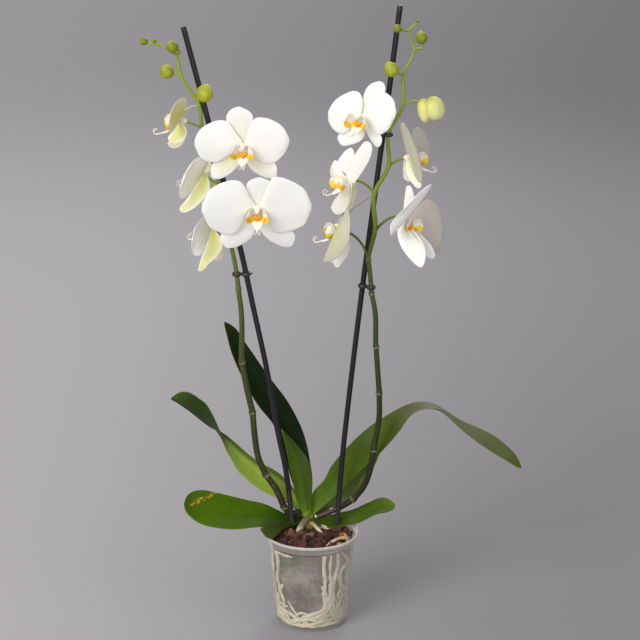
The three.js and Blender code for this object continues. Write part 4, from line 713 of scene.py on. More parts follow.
# For each leaf: greens above, greens below, gloss, and what is darker on one side of the midrib.
LEAF_LOOKS = {
    # leaf_low_left: the dark greens near its root are painted shade from the leaves above it.
    "leaf_low_left": (
        [(0, (24, 44, 2)), (0.16, (30, 54, 2)), (0.36, (60, 88, 2)), (0.8, (68, 98, 3)),
         (1, (58, 86, 6))],
        [(0, (70, 92, 16)), (1, (80, 108, 22))], 0.07, ()),
    "leaf_curl_left": (
        [(0, (116, 140, 36)), (0.3, (146, 170, 66)), (0.58, (150, 174, 76)), (0.64, (40, 62, 6)),
         (0.85, (38, 58, 4)), (1, (60, 90, 12))],
        [(0, (56, 92, 12)), (0.5, (34, 64, 6)),
         (1, (70, 90, 20))], 0.2, [(0.1, 0.3, (130, 150, 70), 0.9)]),
    "leaf_tall_dark": (
        [(0, (26, 50, 2)), (0.4, (12, 26, 0)), (0.75, (18, 34, 2)), (1, (30, 42, 8))],
        [(0, (74, 102, 28)), (1, (60, 88, 26))], 0.08, ()),
    "leaf_inner": (
        [(0, (140, 150, 30)), (0.1, (96, 118, 14)), (0.25, (68, 96, 4)), (0.7, (68, 92, 10)),
         (1, (56, 80, 14))],
        [(0, (76, 104, 24)), (1, (64, 92, 24))], 0.14, [(0.42, 0.56, (190, 196, 150), 0.9)]),
    # leaf_arch_right: the grey-green stops past its bend are a painted sheen of sky on the leaf.
    "leaf_arch_right": (
        [(0, (122, 140, 20)), (0.06, (84, 110, 8)), (0.14, (66, 94, 2)), (0.3, (64, 86, 3)),
         (0.44, (74, 88, 22)), (0.53, (92, 98, 62)), (0.62, (108, 112, 86)), (0.8, (94, 102, 62)),
         (1, (74, 88, 36))],
        [(0, (100, 128, 30)), (0.5, (110, 126, 70)), (1, (90, 106, 50))], 0.12, ()),
    # leaf_fold_right: its pale grey-green from 0.4 on is a painted sheen, lighter than the leaf's own
    # green.
    "leaf_fold_right": (
        [(0, (62, 90, 20)), (0.4, (98, 118, 58)), (1, (98, 118, 56))],
        [(0, (84, 112, 34)), (1, (100, 128, 48))], 0.2, ()),
    "leaf_low_right": (
        [(0, (44, 66, 3)), (0.5, (62, 84, 3)), (0.8, (66, 90, 8)), (1, (84, 114, 20))],
        [(0, (70, 92, 24)), (1, (84, 108, 30))], 0.14, ()),
    "leaf_small": (
        [(0, (34, 52, 6)), (1, (58, 72, 14))],
        [(0, (60, 80, 20)), (1, (66, 84, 24))], 0.14, ()),
}
# Scars: a slanting ellipse (middle, height, turn, half length, half width), grain, colour, strength.
SCARS = {"leaf_low_left": [((-138, 163.6, 26, 20, 3.2), 260, (196, 150, 54), 0.8),
                           ((-146, 160.4, 26, 12, 1.8), 420, (140, 76, 30), 0.6),
                           ((-128, 168.2, 26, 10, 1.6), 420, (216, 170, 70), 0.9),
                           ((-113, 149.2, -18, 4.5, 1.0), 100, (150, 176, 60), 0.8)]}
print("leaf finishes for", len(LEAF_LOOKS), "leaves")

# %% Leaves
LEAF_FOOT = {"leaf_inner": (-2, -7, 3), "leaf_arch_right": (2, -7.5, 6)}    # feet off the crown's middle


def leaf_sheet(name, sink, edges, columns=16, rows=54):
    """A strap between two measured edges, led into the crown at its root and closed at its tip."""
    first, last = np.array(edges[0], float), np.array(edges[-1], float)
    heart = np.array(CROWN, float) + LEAF_FOOT.get(name, (0, 0, 4))
    inner = first + (heart - first.mean(0)) * 0.8
    inner = inner.mean(0) + (inner - inner.mean(0)) * 0.75
    tip = last.mean(0) + (last.mean(0) - np.array(edges[-2], float).mean(0)) * 0.35
    pairs = [np.concatenate(pair) for pair in [inner, *edges, [tip, tip]]]
    line = smooth(np.array(pairs), rows + 1)
    left, right = line[:, :3], line[:, 3:]
    middle = (left + right) / 2
    way = np.gradient(middle, axis=0)

    def place(across, row):
        share = (across + 1) / 2
        cross = right[row] - left[row]
        down = np.cross(cross, way[row])
        down /= max(np.linalg.norm(down), 1e-9)
        down = -down if down[2] > 0 else down
        wide = np.linalg.norm(cross)
        depth = sink * min(1.0, wide / 40) * (1 - abs(across) ** 1.35)
        ripple = 0.7 * math.sin(row * 0.42 + across * 2) * abs(across) ** 3 * min(1.0, wide / 30)
        return left[row] + cross * share + down * (depth + ripple)

    face_up = (0, 0, -1) if name.startswith("leaf_curl") else (0, 0, 1)
    return sheet(name, columns, rows, place, 1.7, upward=face_up)


for name, (sink, edges) in LEAVES.items():
    leaf = leaf_sheet(name + "_strap", sink, edges)
    top, under, gloss, shade = LEAF_LOOKS[name]
    scars = SCARS.get(name, ())
    leaf_finish(name + "_top", top, gloss, 1.0, scars, shade).wear(leaf)
    leaf_finish(name + "_under", under, gloss * 0.6, 0.6, scars, shade).wear(leaf)
    settle(leaf, "leaf", name)
    print(leaf.name, len(leaf.data.polygons), "faces")

# %% [markdown]
# ## The crown
# Where the leaves meet, their clasping bases stack into a short pale fan. It is a thick tube that gets
# thinner upwards, with a few cupped sheets wrapped round it for the old leaf bases.
# %% Crown
sheath = Finish("leaf_base", Roughness=0.5, Coat_Weight=0.1, Subsurface_Weight=0.1, Subsurface_Scale=0.002)
rings = sheath.noise(120, 4, 0.6, stretch=(1, 1, 3))
sheath.paint(sheath.ramp(sheath.height().over(0.112, 0.152), (0, (120, 98, 56)), (0.25, (150, 160, 56)),
                         (0.55, (128, 164, 40)), (1, (98, 142, 24))),
             (rings.over(0.55, 0.75) * 0.4, (110, 100, 40)))
sheath.bump(rings, 0.001, 0.5)
cx, cy, cz = CROWN
parts = [tube("heart", [[cx, cy, cz - 6, 7.5], [cx, cy, cz + 3, 7.2], [cx, cy + 1, cz + 8, 6],
                        [cx + 1, cy + 3, cz + 12, 4.5]], 24)]


def clasp(turn, lean, wide, top):
    """An old leaf base hugging the crown, as a cupped sheet."""
    def place(across, row):
        t = row / 12
        angle = math.radians(turn) + across * wide * (1 - 0.45 * t)
        reach = 8.2 + lean * t * t + 0.6 * (1 - t)
        return (cx + reach * math.cos(angle), cy + reach * math.sin(angle), cz - 4 + top * t)
    return sheet("clasp", 12, 12, place, 1.3)


for turn, lean, wide, top in ((225, 0.6, 1.2, 9), (-50, 0.6, 1.1, 8), (100, 4, 1.0, 16), (20, 1, 0.8, 9)):
    parts.append(clasp(turn, lean, wide, top))
crown = joined("crown_fan", parts)
sheath.wear(crown)
settle(crown, "crown", "crown")
print(crown.name, len(parts), "parts")

# %% [markdown]
# ## The roots
# Thick roots run between the bark and the clear wall, cream where dry and green where light reaches
# them, and a few climb over the bark beside the crown. They are tubes along routes given by a turn round
# the pot and a height, each a little uneven, as the real ones are.
# %% Root tables
WALL_ROOTS = [
    [2, [[-147, 104], [-147, 86], [-154, 66], [-147, 48], [-141, 36], [-144, 16], [-133, 6]]],
    [2.4, [[-143, 57], [-160, 35], [-158, 19], [-137, 9], [-122, 6]]],
    [1, [[-130, 39], [-115, 23], [-106, 14]]],
    [2.4, [[-72, 62], [-65, 45], [-72, 29], [-85, 25], [-106, 18], [-128, 8]]],
    [2.7, [[-18, 26], [-37, 14], [-64, 14], [-92, 9], [-122, 6]]],
    [2.2, [[-61, 64], [-57, 44], [-61, 28], [-85, 19], [-110, 15]]],
    [2.2, [[-10, 11], [-36, 8], [-67, 7], [-96, 6]]],
    [2.6, [[-71, 104], [-71, 87], [-68, 67], [-70, 51], [-67, 34], [-75, 21]]],
    [2, [[-61, 104], [-61, 77], [-57, 58], [-62, 39], [-53, 24]]],
    [2.4, [[-49, 104], [-47, 92], [-53, 71], [-53, 49], [-48, 26], [-30, 10]]],
    [2, [[-41, 104], [-23, 87], [-38, 83], [-40, 63], [-10, 40], [-10, 19]]],
    [1.8, [[-13, 100], [-10, 75], [-26, 66], [-10, 51], [-22, 38]]],
    [1.6, [[-150, 103], [-139, 104], [-128, 104], [-119, 104]]],
    [2, [[-170, 91], [-170, 62], [-170, 35], [-170, 8]]],
    [2.4, [[60, 100], [70, 60], [56, 30], [80, 9], [106, 12], [130, 12], [155, 9], [180, 8], [206, 8]]],
    [2.4, [[110, 98], [120, 50], [104, 24], [120, 11]]],
    [2.4, [[20, 98], [28, 60], [14, 24], [-14, 14]]],
]
AERIAL_ROOTS = [
    [[-4, 14, 132, 3.8], [-8.5, 10, 130, 4.5], [-12, 6, 126, 4.6], [-15.5, 1, 121.5, 3.8],
     [-18, -3, 117, 2.9]],
    [[-3, 14, 124, 2.6], [1, 10, 126.5, 2.8], [6, 5, 123.5, 2.5], [12, 0, 118.5, 2.2], [15, -2, 112, 2.0]],
    [[0.7, 17, 118, 2.4], [13.6, 12, 121.6, 2.4], [27.7, 8, 117, 2.3], [44.2, 2, 112.7, 2.0]],
    [[20, -38, 116, 1.8], [28, -33, 120.5, 2.2], [38, -26, 121.5, 2.2], [48, -16, 118, 1.8]],
    [[30, -22, 117, 2.0], [37, -26, 121.5, 2.3], [45, -25, 121, 2.0], [50, -22, 116, 1.8]],
    [[36, -8, 118, 1.8], [42, -16, 122, 2.1], [46, -27, 118, 1.8]],
]
POT_BASE, WALL = 45.0, 1.4    # outside radius of the pot at its base, and how thick its wall is


def wall_radius(z):
    """Outside radius of the tapering pot at a height."""
    return POT_BASE + 11 * z / 112


velamen = Finish("root_skin", Roughness=0.62, Coat_Weight=0.08)
mottle = velamen.noise(160, 5, 0.65)
patches = velamen.noise(22, 3, 0.5)
in_air = velamen.height().over(0.104, 0.112)
dry_end = velamen.spot((40, -22, 120), 28) * mottle.over(0.3, 0.6)
velamen.paint(
    (214, 207, 184), (patches.over(0.5, 0.66) * 0.8, (170, 178, 130)),
    (mottle.over(0.5, 0.8) * 0.4, (176, 152, 112)),
    ((1 - in_air) * 0.85, (226, 224, 216), "MULTIPLY"), (in_air * 0.7, (220, 210, 196), "MULTIPLY"),
    (velamen.spot((-8, 10, 130), 21) * 0.95, (84, 80, 50)),
    (velamen.spot((2, 10, 124), 11) * 0.8, (170, 140, 84)),
    (dry_end * 0.9, (150, 112, 70)))
velamen.bump(mottle, 0.0006, 0.4)
print("pot wall roots:", len(WALL_ROOTS), "over the bark:", len(AERIAL_ROOTS))

# %% Roots inside the wall
draw = random.Random(11)


def wall_root(route, radius, inset):
    """A slightly uneven root along (turn, height) stops, held inset millimetres inside the wall."""
    stops = []
    for turn, z in route:
        reach = wall_radius(z) - WALL - inset
        angle = math.radians(turn)
        stops.append([reach * math.cos(angle), reach * math.sin(angle), z])
    line = smooth(stops, 26)
    out = []
    for i, (x, y, z) in enumerate(line):
        reach = wall_radius(z) - WALL - inset
        away = math.hypot(x, y)
        out.append([x * reach / away, y * reach / away, max(z, 4.5 + radius),
                    radius * (1 + 0.16 * math.sin(i * 0.9 + inset * 5) + 0.1 * math.sin(i * 2.3 + inset))])
    return tube("root", out, 10, step=2.5)


parts = [wall_root(route, radius, radius + 0.2) for radius, route in WALL_ROOTS]
for k in range(20):
    turn, z = draw.uniform(-172, -8), draw.uniform(6, 24)
    route = [[turn, z]]
    for _ in range(4):
        turn, z = turn + draw.uniform(6, 13), max(5.5, min(30, z + draw.uniform(-8, 8)))
        route.append([turn, z])
    parts.append(wall_root(route, draw.uniform(1.4, 2.4), 2.6))
for k in range(9):
    turn, z, route = draw.uniform(-60, -8), draw.uniform(66, 84), []
    for _ in range(6):
        route.append([turn, z])
        turn, z = turn + draw.uniform(-9, 9), z - draw.uniform(8, 15)
    parts.append(wall_root(route, draw.uniform(0.9, 1.5), 2.0))
for k in range(20):
    start = draw.uniform(-5, 185)
    z0 = draw.choice([96, 80, 55, 30])
    sweep = draw.uniform(-60, 60)
    route = [[start, z0], [start + sweep * 0.2 + draw.uniform(-10, 10), z0 * 0.6],
             [start + sweep * 0.3, z0 * 0.3 + 4], [start + sweep * 0.5, draw.uniform(6, 14)],
             [start + sweep * 0.7, draw.uniform(6, 18)]]
    parts.append(wall_root(route, draw.uniform(1.3, 2.2), 2.2))
wall_roots = joined("wall_roots_tangle", parts)
knots = bpy.data.textures.new("knots", "CLOUDS")
knots.noise_scale = 0.007
uneven = wall_roots.modifiers.new("uneven", "DISPLACE")
uneven.texture, uneven.strength, uneven.mid_level = knots, 2.6 * MM, 0.5
apply_all(wall_roots)
velamen.wear(wall_roots)
settle(wall_roots, "root", "wall_roots")
print(wall_roots.name, len(parts), "strands")

# %% Roots over the bark
parts = [tube("root", stops, 14, step=1.2) for stops in AERIAL_ROOTS]
aerial = joined("aerial_roots_bent", parts)
velamen.wear(aerial)
settle(aerial, "root", "aerial_roots")
print(aerial.name, len(parts), "roots")

# %% [markdown]
# ## The bark
# Orchids grow in loose chips of pine bark. The mass inside the pot is a turned core, roughened in its
# mesh so that chips show through the wall. On top lie loose chips: a few cubes are cut down, bevelled and
# roughened once, and each copy is turned and placed on the bed.
# %% Bark finish
bark = Finish("pine_bark", Roughness=0.88)
layers = bark.noise(240, 6, 0.7, stretch=(1, 1, 2.4))
bark.paint(
    bark.ramp(bark.mark("tint"), (0, (30, 16, 11)), (0.4, (62, 31, 22)), (0.75, (86, 46, 32)),
              (1, (122, 80, 58))),
    (layers.over(0.5, 0.75) * 0.35, (128, 84, 62)), ((1 - layers.over(0.3, 0.42)) * 0.8, (30, 15, 10)),
    (bark.spot((36, -38, 119), 6) * 0.8, (222, 128, 100)))
bark.bump(layers, 0.002, 0.8)
damp = Finish("damp_bark", Roughness=0.85)
wet_cells = damp.cells(75)
wet = damp.noise(90, 6, 0.7)
damp.paint(
    (66, 50, 48), (wet.over(0.35, 0.7), (108, 86, 80)), (wet_cells.over(0.3, 0.65) * 0.45, (64, 48, 44)),
    (damp.noise(240, 3).over(0.6, 0.68) * 0.6, (170, 150, 136)),
    (damp.noise(130, 4).over(0.54, 0.6) * 0.55, (60, 42, 42)),
    (damp.spot((-30, -38, 92), 26) * wet.over(0.3, 0.55) * 0.9, (70, 86, 40)),
    ((1 - damp.spot((-10, -50, 56), 62)) * 0.45, (160, 150, 132)),
    (damp.streak(-33, 87, 0, 22, 15) * wet.over(0.25, 0.5) * 0.85, (46, 62, 20)),
    (damp.height().over(0.104, 0.108), (40, 22, 17)))
damp.bump(wet, 0.003, 0.7)
print("bark finishes ready")

# %% Bark core
def turned(name, profile, sides, lid=False):
    """Raises a filled circle ring by ring along (radius, height) in millimetres; lid closes the top."""
    radius, low = profile[0]
    piece = started(bpy.ops.mesh.primitive_circle_add, vertices=sides, radius=radius * MM,
                    location=(0, 0, low * MM), fill_type="NGON")
    piece.name = name
    bpy.ops.object.transform_apply()
    bpy.ops.object.mode_set(mode="EDIT")
    bpy.ops.mesh.select_mode(type="EDGE")
    bpy.ops.mesh.select_all(action="SELECT")
    bpy.ops.mesh.region_to_loop()
    for (r0, z0), (r1, z1) in zip(profile, profile[1:]):
        bpy.ops.mesh.extrude_edges_move(TRANSFORM_OT_translate={"value": (0, 0, (z1 - z0) * MM)})
        bpy.ops.transform.resize(value=(r1 / r0, r1 / r0, 1))
    if lid:
        bpy.ops.mesh.edge_face_add()
    bpy.ops.mesh.select_all(action="SELECT")
    bpy.ops.mesh.normals_make_consistent(inside=False)
    bpy.ops.object.mode_set(mode="OBJECT")
    return piece


core_radius = [(wall_radius(z) - WALL - 5.6, z) for z in (4, 20, 36, 52, 68, 84, 98)]
core = turned("bark_core", [(12, 3.4), (30, 3.4), *core_radius, (52, 104), (53.4, 109.5), (44, 112),
                            (30, 113), (14, 113.4), (2, 113.5)], 72, lid=True)
for level, size, deep in ((2, 0.012, 3.0), (0, 0.004, 1.2)):
    if level:
        more = core.modifiers.new("more", "SUBSURF")
        more.subdivision_type, more.levels, more.render_levels = "SIMPLE", level, level
    cloud = bpy.data.textures.new("lumps", "VORONOI")
    cloud.noise_scale = size
    lumps = core.modifiers.new("lumps", "DISPLACE")
    lumps.texture, lumps.strength, lumps.mid_level = cloud, -deep * MM, 0.0
apply_all(core)
damp.wear(core)
settle(core, "bark", "bark_bed")
print(core.name, len(core.data.polygons), "faces")

# %% Loose bark chips
def chip_pattern(seed):
    """One broken flake of bark, 1 unit long, to be copied."""
    rough = random.Random(seed)
    chip = started(bpy.ops.mesh.primitive_cube_add, size=1)
    bpy.ops.object.mode_set(mode="EDIT")
    bpy.ops.mesh.select_all(action="SELECT")
    bpy.ops.transform.resize(value=(1, rough.uniform(0.7, 0.95), rough.uniform(0.5, 0.75)))
    bpy.ops.mesh.subdivide(number_cuts=2)
    for end, tilt, lean in ((1, 0.7, 0.4), (-1, 0.6, 0.3)):
        away = (end, rough.uniform(-tilt, tilt), rough.uniform(-lean, lean))
        bpy.ops.mesh.select_all(action="SELECT")
        bpy.ops.mesh.bisect(plane_co=(0.3 * end, 0, 0), plane_no=away, clear_outer=True, use_fill=True)
    bpy.ops.object.mode_set(mode="OBJECT")
    for vertex in chip.data.vertices:
        vertex.co += Vector([rough.uniform(-0.05, 0.05) for _ in range(3)])
    edge = chip.modifiers.new("edge", "BEVEL")
    edge.width, edge.segments, edge.limit_method, edge.angle_limit = 0.03, 1, "ANGLE", 0.9
    apply_all(chip)
    welded(chip, 1e-4)
    bpy.ops.object.shade_flat()
    return chip


patterns = [chip_pattern(seed) for seed in range(5)]
draw = random.Random(23)
CHIPS, BED_RADIUS, BED_TOP, GOLDEN_ANGLE = 118, 51, 113.0, 2.39996
parts = []
for k in range(CHIPS):
    reach = BED_RADIUS * math.sqrt((k + 0.5) / CHIPS)
    angle = k * GOLDEN_ANGLE
    x, y = reach * math.cos(angle) + draw.uniform(-2, 2), reach * math.sin(angle) + draw.uniform(-2, 2)
    long = draw.uniform(10, 17) if reach < 44 else draw.uniform(8, 12)
    chip = patterns[k % 5].copy()
    chip.data = patterns[k % 5].data.copy()
    bpy.context.collection.objects.link(chip)
    tilt = Matrix.Rotation(draw.uniform(0, 6.28), 4, "Z")
    for axis in "XY":
        tilt = tilt @ Matrix.Rotation(draw.uniform(-1.1, 1.1), 4, axis)
    lift = BED_TOP + draw.uniform(-2.5, 4.5)
    marked(chip, "tint", [draw.random()] * len(chip.data.vertices))
    chip.data.transform(Matrix.Translation((x * MM, y * MM, lift * MM)) @ tilt @ Matrix.Scale(long * MM, 4))
    parts.append(chip)
for pattern in patterns:
    bpy.data.objects.remove(pattern)
chips = joined("bark_chips", parts)
bark.wear(chips)
settle(chips, "bark")
print(chips.name, len(chips.data.polygons), "faces")

# %% [markdown]
# ## The pot
# A thin clear nursery pot, turned milky by use. Its wall is one lathed shape: a flat base with drain
# holes, a tapering body, and a deeper rim band with a rolled lip. It is raised ring by ring from a
# circle and given its wall by Solidify, and a Boolean cuts the drain holes. The plastic lets the roots
# show, so its finish is mostly see-through, with streaks and specks of lime scale that hide more.
# %% Pot
outline = [(6, 0.05), (POT_BASE - 3, 0.05), (POT_BASE - 0.6, 1.0), (POT_BASE + 0.3, 3.4),
           *[(wall_radius(z), z) for z in (20, 45, 70, 90, 108)], (wall_radius(109) + 0.2, 109.2),
           (57.1, 110.0), (57.4, 110.8), (57.0, 111.6), (57.0, 113.2), (57.5, 114.0), (57.5, 114.7),
           (57.1, 115.4), (57.4, 116.4), (59.0, 117.2), (59.8, 118.2), (60.0, 119.6), (60.0, 121.2),
           (59.5, 121.9), (58.7, 121.9), (58.1, 121.0)]
pot = turned("pot_shell", outline, 128)
shell = pot.modifiers.new("wall", "SOLIDIFY")
shell.thickness, shell.offset = WALL * MM, -1
apply_all(pot)
cutters = []
for k in range(6):
    turn = k * math.pi / 3 + 0.3
    cutters.append(started(bpy.ops.mesh.primitive_cylinder_add, vertices=24, radius=4 * MM, depth=8 * MM,
                           location=(30 * MM * math.cos(turn), 30 * MM * math.sin(turn), 0)))
drain = joined("drain", cutters)
holes = pot.modifiers.new("holes", "BOOLEAN")
holes.object, holes.operation, holes.solver = drain, "DIFFERENCE", "EXACT"
apply_all(pot)
bpy.data.objects.remove(drain)
pot.select_set(True)
bpy.ops.object.shade_smooth_by_angle(angle=math.radians(50))

milky = Finish("milky_plastic", Roughness=0.3, Coat_Weight=0.25, Coat_Roughness=0.15, IOR=1.4)
haze = milky.noise(26, 5, 0.6)
streak = milky.noise(90, 4, 0.6, stretch=(1, 1, 0.12))
drops = milky.cells(300)
rim = milky.height().over(0.109, 0.112)
lip = milky.height().over(0.1165, 0.1185)
turned_right = milky.part("X").over(0.01, 0.05)
beaded = (1 - drops.over(0.08, 0.16)) * haze.over(0.5, 0.6)
cover = (0.08 + haze.over(0.45, 0.75) * 0.12 + streak.over(0.58, 0.78) * 0.1 + rim * 0.08 + lip * 0.3
         + turned_right * 0.16 + beaded * 0.2)
milky.feed(milky.shader.inputs["Alpha"], cover)
milky.paint((206, 200, 190), (haze, (234, 230, 222)), roughness=0.22 + streak * 0.3)
milky.bump(haze, 0.002, 0.12)
milky.wear(pot)
settle(pot, "pot", "pot")
print(pot.name, len(pot.data.polygons), "faces")

# %% [markdown]
# ## The buds
# Buds are fat green eggs with three closed sepals, so faint seams run from stalk to tip. Each starts as
# a sphere, pulled longer towards its tip, with its seams pressed in. The lowest bud on the right is
# about to open, and is built from cupped sepals that close into a globe, with one loose lobe beside it.
# %% Buds
BUDS = {
    "bud_l1": ([-126.3, -13, 686.9], [0.3, -0.1, 1], 10.3, 11.1),
    "bud_l2": ([-172, 3, 710], [-0.2, 0, 1], 8.3, 8.7),
    "bud_l3": ([-164.3, -2, 740.3], [-0.6, 0, 1], 7.0, 7.8),
    "bud_l4": ([-186.2, 2, 747.1], [-1, 0, 0.3], 2.4, 2.8),
    "bud_l5": ([-198.7, 3, 745.9], [-1, 0, -0.2], 4.2, 5.4),
    "bud_r1": ([126.8, 0, 770.6], [1, 0, 0.3], 2.1, 2.6),
    "bud_r2": ([102.6, -10, 763.5], [-0.5, 0, 1], 5.0, 5.4),
    "bud_r3": ([131.3, 0, 751.1], [-0.2, 0, 1], 7.0, 7.7),
    "bud_r4": ([95.5, -13, 715.5], [-0.4, 0, 0.8], 8.5, 9.4),
    "bud_r5": ([145.7, 0, 665.9], [0.35, 0, -1], 12.4, 14.9),
}
bud_skin = Finish("bud_skin", Roughness=0.45, Specular_IOR_Level=0.3, Coat_Weight=0.08,
                  Subsurface_Weight=0.15, Subsurface_Scale=0.003)
blush = bud_skin.noise(60, 4)
fine = bud_skin.noise(400, 3)
seam, end = bud_skin.mark("seam"), bud_skin.mark("end")
bud_skin.paint((142, 152, 26), (blush.over(0.35, 0.7), (172, 176, 50)),
               (bud_skin.mark("young"), (108, 116, 8)), (seam * 0.35, (128, 152, 36)),
               (end.over(0.72, 1.0) * 0.35, (206, 206, 110)))
bud_skin.bump(fine * 0.4 + seam * -1, 0.0006, 0.4)
cream = Finish("opening_bud", Roughness=0.5, Subsurface_Weight=0.2, Subsurface_Scale=0.004)
across, along = cream.across_along()
soft = cream.noise(50, 4)
ribs = (across * 60).sine() * 0.5 + 0.5
cream.paint(cream.ramp(along + soft * 0.2 - 0.1, (0, (160, 172, 50)), (0.3, (210, 208, 112)),
                       (0.8, (236, 230, 172)), (1, (218, 212, 112))),
            (ribs * 0.1, (180, 196, 90)), (cream.spot((152, -12, 672), 9) * 0.45, (226, 184, 150)))
cream.bump(ribs, 0.0005, 0.3)


def bud(name, at, face, wide, long):
    """A closed bud along face, pressed in at its three seams; small ones are younger and darker."""
    piece = started(bpy.ops.mesh.primitive_uv_sphere_add, segments=36, ring_count=22, radius=1)
    piece.name = name
    seams, ends = [], []
    for vertex in piece.data.vertices:
        x, y, z = vertex.co
        turn = math.atan2(y, x)
        groove = max(0.0, math.cos(3 * turn)) ** 24 * (1 - abs(z)) ** 0.3
        swell = (1 + 0.10 * -z) * (1 - 0.06 * groove)
        seams.append(groove)
        ends.append((z + 1) / 2)
        vertex.co = (x * wide * swell, y * wide * swell, z * long * (1.02 if z > 0.9 else 1.0))
    marked(piece, "seam", seams)
    marked(piece, "end", ends)
    marked(piece, "young", [max(0.0, min(0.85, (9 - wide) / 2.5))] * len(ends))
    turned_to = Vector(face).to_track_quat("Z", "Y").to_matrix().to_4x4()
    piece.data.transform(Matrix.Scale(MM, 4) @ Matrix.Translation(at) @ turned_to)
    bpy.ops.object.shade_smooth()
    return piece


def opening_bud(name, at, face, wide, long):
    """A plump bud with one sepal standing away from the rest on its left."""
    turn = Vector(face).to_track_quat("Z", "Y").to_matrix()
    middle = Vector(at) + Vector((2.5, 0, 0))
    beside = Vector(at) + Vector((-0.8 * wide, -0.25 * wide, -0.12 * long))
    parts = [bud("loose", beside, (0.12, 0, -1), wide * 0.64, long * 0.98)]
    for angle, spread, reach, half in ((-75, 0.0, 1.0, 1.1), (30, 0.02, 0.99, 1.2), (160, 0.0, 0.97, 1.3),
                                       (205, 0.04, 0.96, 1.05)):
        def place(across, row, angle=math.radians(angle), spread=spread, reach=reach, half=half):
            t = row / 16
            rise = (t - 0.5) * math.pi * 0.98
            ring = wide * (math.cos(rise) * reach + spread * math.sin(math.pi * min(1.0, t * 1.15)))
            way = angle + across * half * (1 - 0.2 * t)
            spoke = Vector((math.cos(way) * ring, math.sin(way) * ring, long * math.sin(rise)))
            return middle + turn @ spoke
        parts.append(sheet("sepal", 12, 16, place, 0.8))
    return joined(name, parts)


for name, (at, face, wide, long) in BUDS.items():
    if name == "bud_r5":
        piece = opening_bud(name + "_opening", at, face, wide, long)
        cream.wear(piece)
    else:
        piece = bud(name + "_egg", at, face, wide, long)
        bud_skin.wear(piece)
    settle(piece, "bud", name)
print("buds:", len(BUDS))

